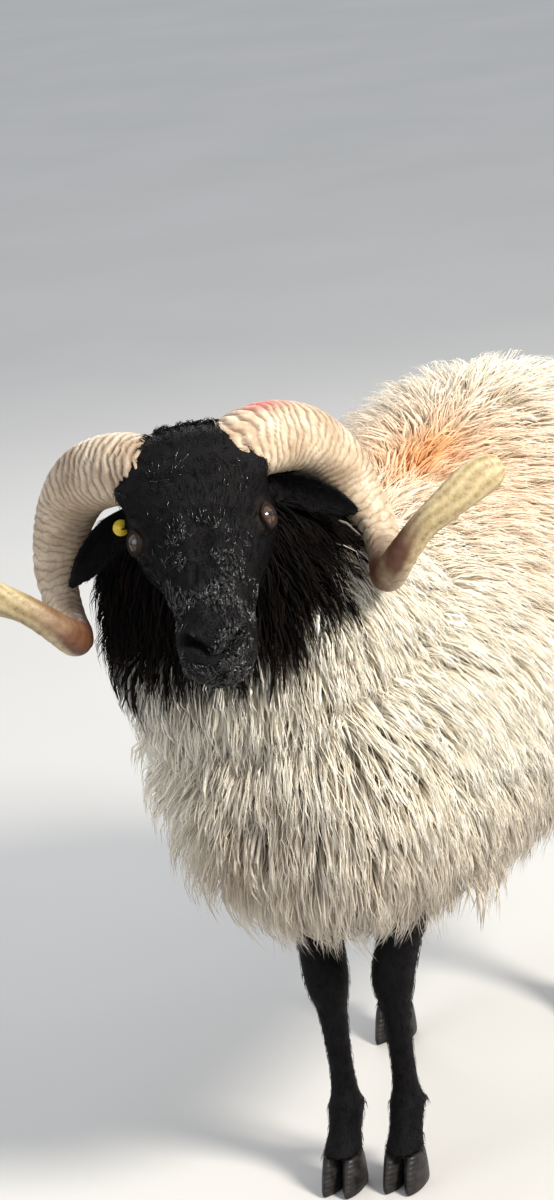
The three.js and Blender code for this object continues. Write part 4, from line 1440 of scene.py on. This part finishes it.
def coat(
    name, material, slot_name, surface, density, count, seed, width, width_seed,
    flatness=0.6, black=None, **growing,
):
    """Grows one sort of wool or hair, and makes its locks into pieces from nose to tail."""
    paths, roots, region = grow(surface, density, count=count, seed=seed, **growing)
    widths = drawn(*width, count, width_seed)
    parts = np.array_split(np.argsort(roots[:, 1]), -(-count // LOCKS_IN_PIECE))
    for number, mine in enumerate(parts):
        piece = coat_piece(
            f"{name}_{number + 1}", paths[mine], roots[mine], region[mine], widths[mine],
            seed + 10 + number, flatness, None if black is None else black[mine],
        )
        placed(piece, material, slot_name)


def fleece_density(places):
    """Where the long fleece grows: on the trunk, the neck, the thighs and the tail."""
    on_legs = step(345, 395, places[:, 2])
    inside_head = step(840, 865, places[:, 2]) * (places[:, 1] < -300)
    return on_legs * (1 - inside_head)


# Broad soft tufts fill the fleece, and fine locks gathered into points cover them.
fleece_at = fleece_density(body.middles)
coat(
    "under_wool", wool_stuff, "fleece", body, fleece_at, 15000, 300, (2.8, 4.6), 1, 0.40,
    guides=3600, length=80, height=(0.78, 0.92), rings=5, clump=0.30, wave=2.0, droop=0.05,
)
coat(
    "fleece", wool_stuff, "fleece", body, fleece_at, 40000, 400, (0.75, 1.3), 2, 0.62,
    guides=4600, length=88, height=(0.87, 1.0), rings=5, clump=0.55, wave=3.4, droop=0.07,
)


# Short hair on the head, ears and legs: it lies towards the nose, the ear's tip or the foot.
def face_lie(points, normals, rng):
    u, _, w = head_axes(points)
    way = np.broadcast_to(HEAD_U, points.shape) + 0.25 * HEAD_V
    # From the brow up the hair turns back towards the horns and out to the sides.
    crown = (1 - step(20, 70, u))[:, None]
    way = way * (1 - 1.6 * crown) + crown * (np.sign(w)[:, None] * HEAD_W * 0.5)
    region = region_of(points, True)
    for number, side in ((EAR_LEFT, 1), (EAR_RIGHT, -1)):
        way[region == number] = ear_frame(side)[1]
    return bent_away(way + rng.normal(0, 0.18, way.shape), normals)


def leg_lie(points, normals, rng):
    return bent_away(-Z + rng.normal(0, 0.12, points.shape), normals)


def curled(points, normals, rng):
    return bent_away(HEAD_U + rng.normal(0, 0.55, points.shape), normals)


def poll_lie(points, normals, rng):
    """Back over the poll, then down the nape into the ruff."""
    _, v, w = head_axes(points)
    way = -HEAD_U * (0.4 + step(-60, -20, v))[:, None] - 0.9 * HEAD_V * step(20, 60, -v)[:, None]
    way = way + np.outer(w / 60, HEAD_W)
    return bent_away(way + rng.normal(0, 0.30, points.shape), normals)


def even_depth(points):
    return np.full(len(points), FLEECE)


def poll_depth(points):
    return FLEECE * (0.35 + 0.65 * step(30, 80, -head_axes(points)[1]))


def beside_openings(places):
    """0 in the nostrils and the mouth and 1 away from them."""
    folded = folded_axes(places)
    return step(3, 8, away_from(NOSTRIL, folded)) * step(1.5, 4, away_from(MOUTH, folded))


def face_density(places):
    u = head_axes(places)[0]
    bare = step(236, 250, u)
    for side in (1, -1):
        metric, _, outwards = eye_opening(places, side)
        bare = np.maximum(bare, (outwards > 0) * (1 - step(1.15, 1.5, metric)))
    # More of it towards the poll, where it is longest.
    return (1 - bare) * (1 + 0.8 * (1 - step(10, 60, u))) * beside_openings(places)


def damp_density(places):
    """The bridge of the nose and the muzzle, with a little on the brow."""
    u, v, w = head_axes(places)
    sleek = step(80, 170, u) * groove(w, 27) * step(-95, -45, v)
    sleek = np.maximum(sleek, 0.02 * step(20, 50, u) * (1 - step(80, 100, u)) * step(-10, 10, v))
    return sleek * step(-0.3, 0.4, waves(places, 11, 15)) * beside_openings(places)


def poll_density(places):
    """The forelock and the hair of the poll, between and behind the horns."""
    u, v, _ = head_axes(places)
    return (1 - step(-2, 14, u)) * step(-150, -120, v) * (region_of(places, True) == HEAD)


FACE_HAIRS, LEG_HAIRS, DAMP_HAIRS, POLL_HAIRS = 8000, 6000, 3600, 3800
coat(
    "face_hair", hair_stuff, "face_hair", face, face_density(face.middles), FACE_HAIRS, 500,
    (0.35, 0.6), 3, black=np.ones(FACE_HAIRS), guides=1800, length=11, height=(0.010, 0.026),
    rings=3, clump=0.35, wave=0.5, lie=face_lie, depth=even_depth,
)
leg_skin = (1 - step(330, 372, body.middles[:, 2])) * (body.middles[:, 2] > 44)
coat(
    "leg_hair", hair_stuff, "face_hair", body, leg_skin, LEG_HAIRS, 600,
    (0.3, 0.55), 4, black=np.ones(LEG_HAIRS), guides=1200, length=13, height=(0.012, 0.034),
    rings=3, clump=0.35, wave=0.5, lie=leg_lie, depth=even_depth,
)
coat(
    "damp_hair", damp_stuff, "face_hair", face, damp_density(face.middles), DAMP_HAIRS, 800,
    (0.35, 0.7), 7, black=np.ones(DAMP_HAIRS), guides=700, length=10, height=(0.014, 0.036),
    rings=4, clump=0.6, wave=1.2, lie=curled, depth=even_depth,
)
# A few hairs of the poll are greyer.
poll_black = 1 - 0.5 * (drawn(0, 1, POLL_HAIRS, 6) > 0.96)
coat(
    "poll_hair", wool_stuff, "ruff", face, poll_density(face.middles), POLL_HAIRS, 700,
    (0.5, 0.9), 5, black=poll_black, guides=520, length=34, height=(0.10, 0.22),
    rings=5, clump=0.5, wave=2.0, droop=0.03, lie=poll_lie, depth=poll_depth,
)

# Floor, light and camera.
FLOOR_REACH = 40000.0
corners = np.array([[-1, -1, 0], [1, -1, 0], [1, 1, 0], [-1, 1, 0]]) * FLOOR_REACH
floor = new_mesh("floor", corners - (0, 0, SHIFT[2]), [np.array([[0, 1, 2, 3]])], False)
floor.data.materials.append(floor_paint())


def facing(place, right, up, ahead):
    """The matrix of a lamp or camera that looks ahead from its place."""
    rows = np.stack([right, up, -ahead, place], 1).tolist()
    return Matrix([*rows, (0, 0, 0, 1)])


def lamp(name, place, aim, size, watts, colour):
    data = bpy.data.lights.new(name, "AREA")
    data.shape = "DISK"
    data.size = size
    data.energy = watts
    data.color = colour
    way = unit(np.subtract(aim, place))
    side = unit(np.cross(way, Z))
    linked(name, data).matrix_world = facing(place, side, np.cross(side, way), way)


lamp("key", (3.6, -1.2, 3.4), (0, 0, 0.6), 1.2, 470, (1.0, 0.94, 0.84))
lamp("fill", (-2.6, -3.6, 2.2), (0, -0.1, 0.6), 3.0, 55, (0.92, 0.95, 1.0))
lamp("rim", (-1.5, 3.0, 2.8), (0, 0.1, 0.7), 1.8, 60, (1.0, 0.98, 0.95))
world = bpy.data.worlds.new("soft room")
world.use_nodes = True
background = world.node_tree.nodes["Background"].inputs
background["Color"].default_value = (0.86, 0.90, 0.96, 1)
background["Strength"].default_value = 0.95
bpy.context.scene.world = world
bpy.context.scene.view_settings.view_transform = "Standard"

CAMERA_PLACE = np.array([1410.0, -3354, 1643])
CAMERA_TURN = math.radians(25)
CAMERA_PITCH = math.radians(15.213)
CAMERA_ROLL = math.radians(6.86)
SENSOR = 36
FOCAL_LENGTH = 96
forward = np.array([
    -math.sin(CAMERA_TURN) * math.cos(CAMERA_PITCH),
    math.cos(CAMERA_TURN) * math.cos(CAMERA_PITCH),
    -math.sin(CAMERA_PITCH),
])
level_right = unit(np.cross(forward, Z))
level_up = np.cross(level_right, forward)
right = level_right * math.cos(CAMERA_ROLL) - level_up * math.sin(CAMERA_ROLL)
upward = level_right * math.sin(CAMERA_ROLL) + level_up * math.cos(CAMERA_ROLL)
lens = bpy.data.cameras.new("photo camera")
lens.sensor_fit = "VERTICAL"
lens.sensor_height = SENSOR
lens.sensor_width = SENSOR
lens.lens = FOCAL_LENGTH
camera = linked("photo camera", lens)
camera.matrix_world = facing((CAMERA_PLACE + SHIFT) / 1000, right, upward, forward)
bpy.context.scene.camera = camera
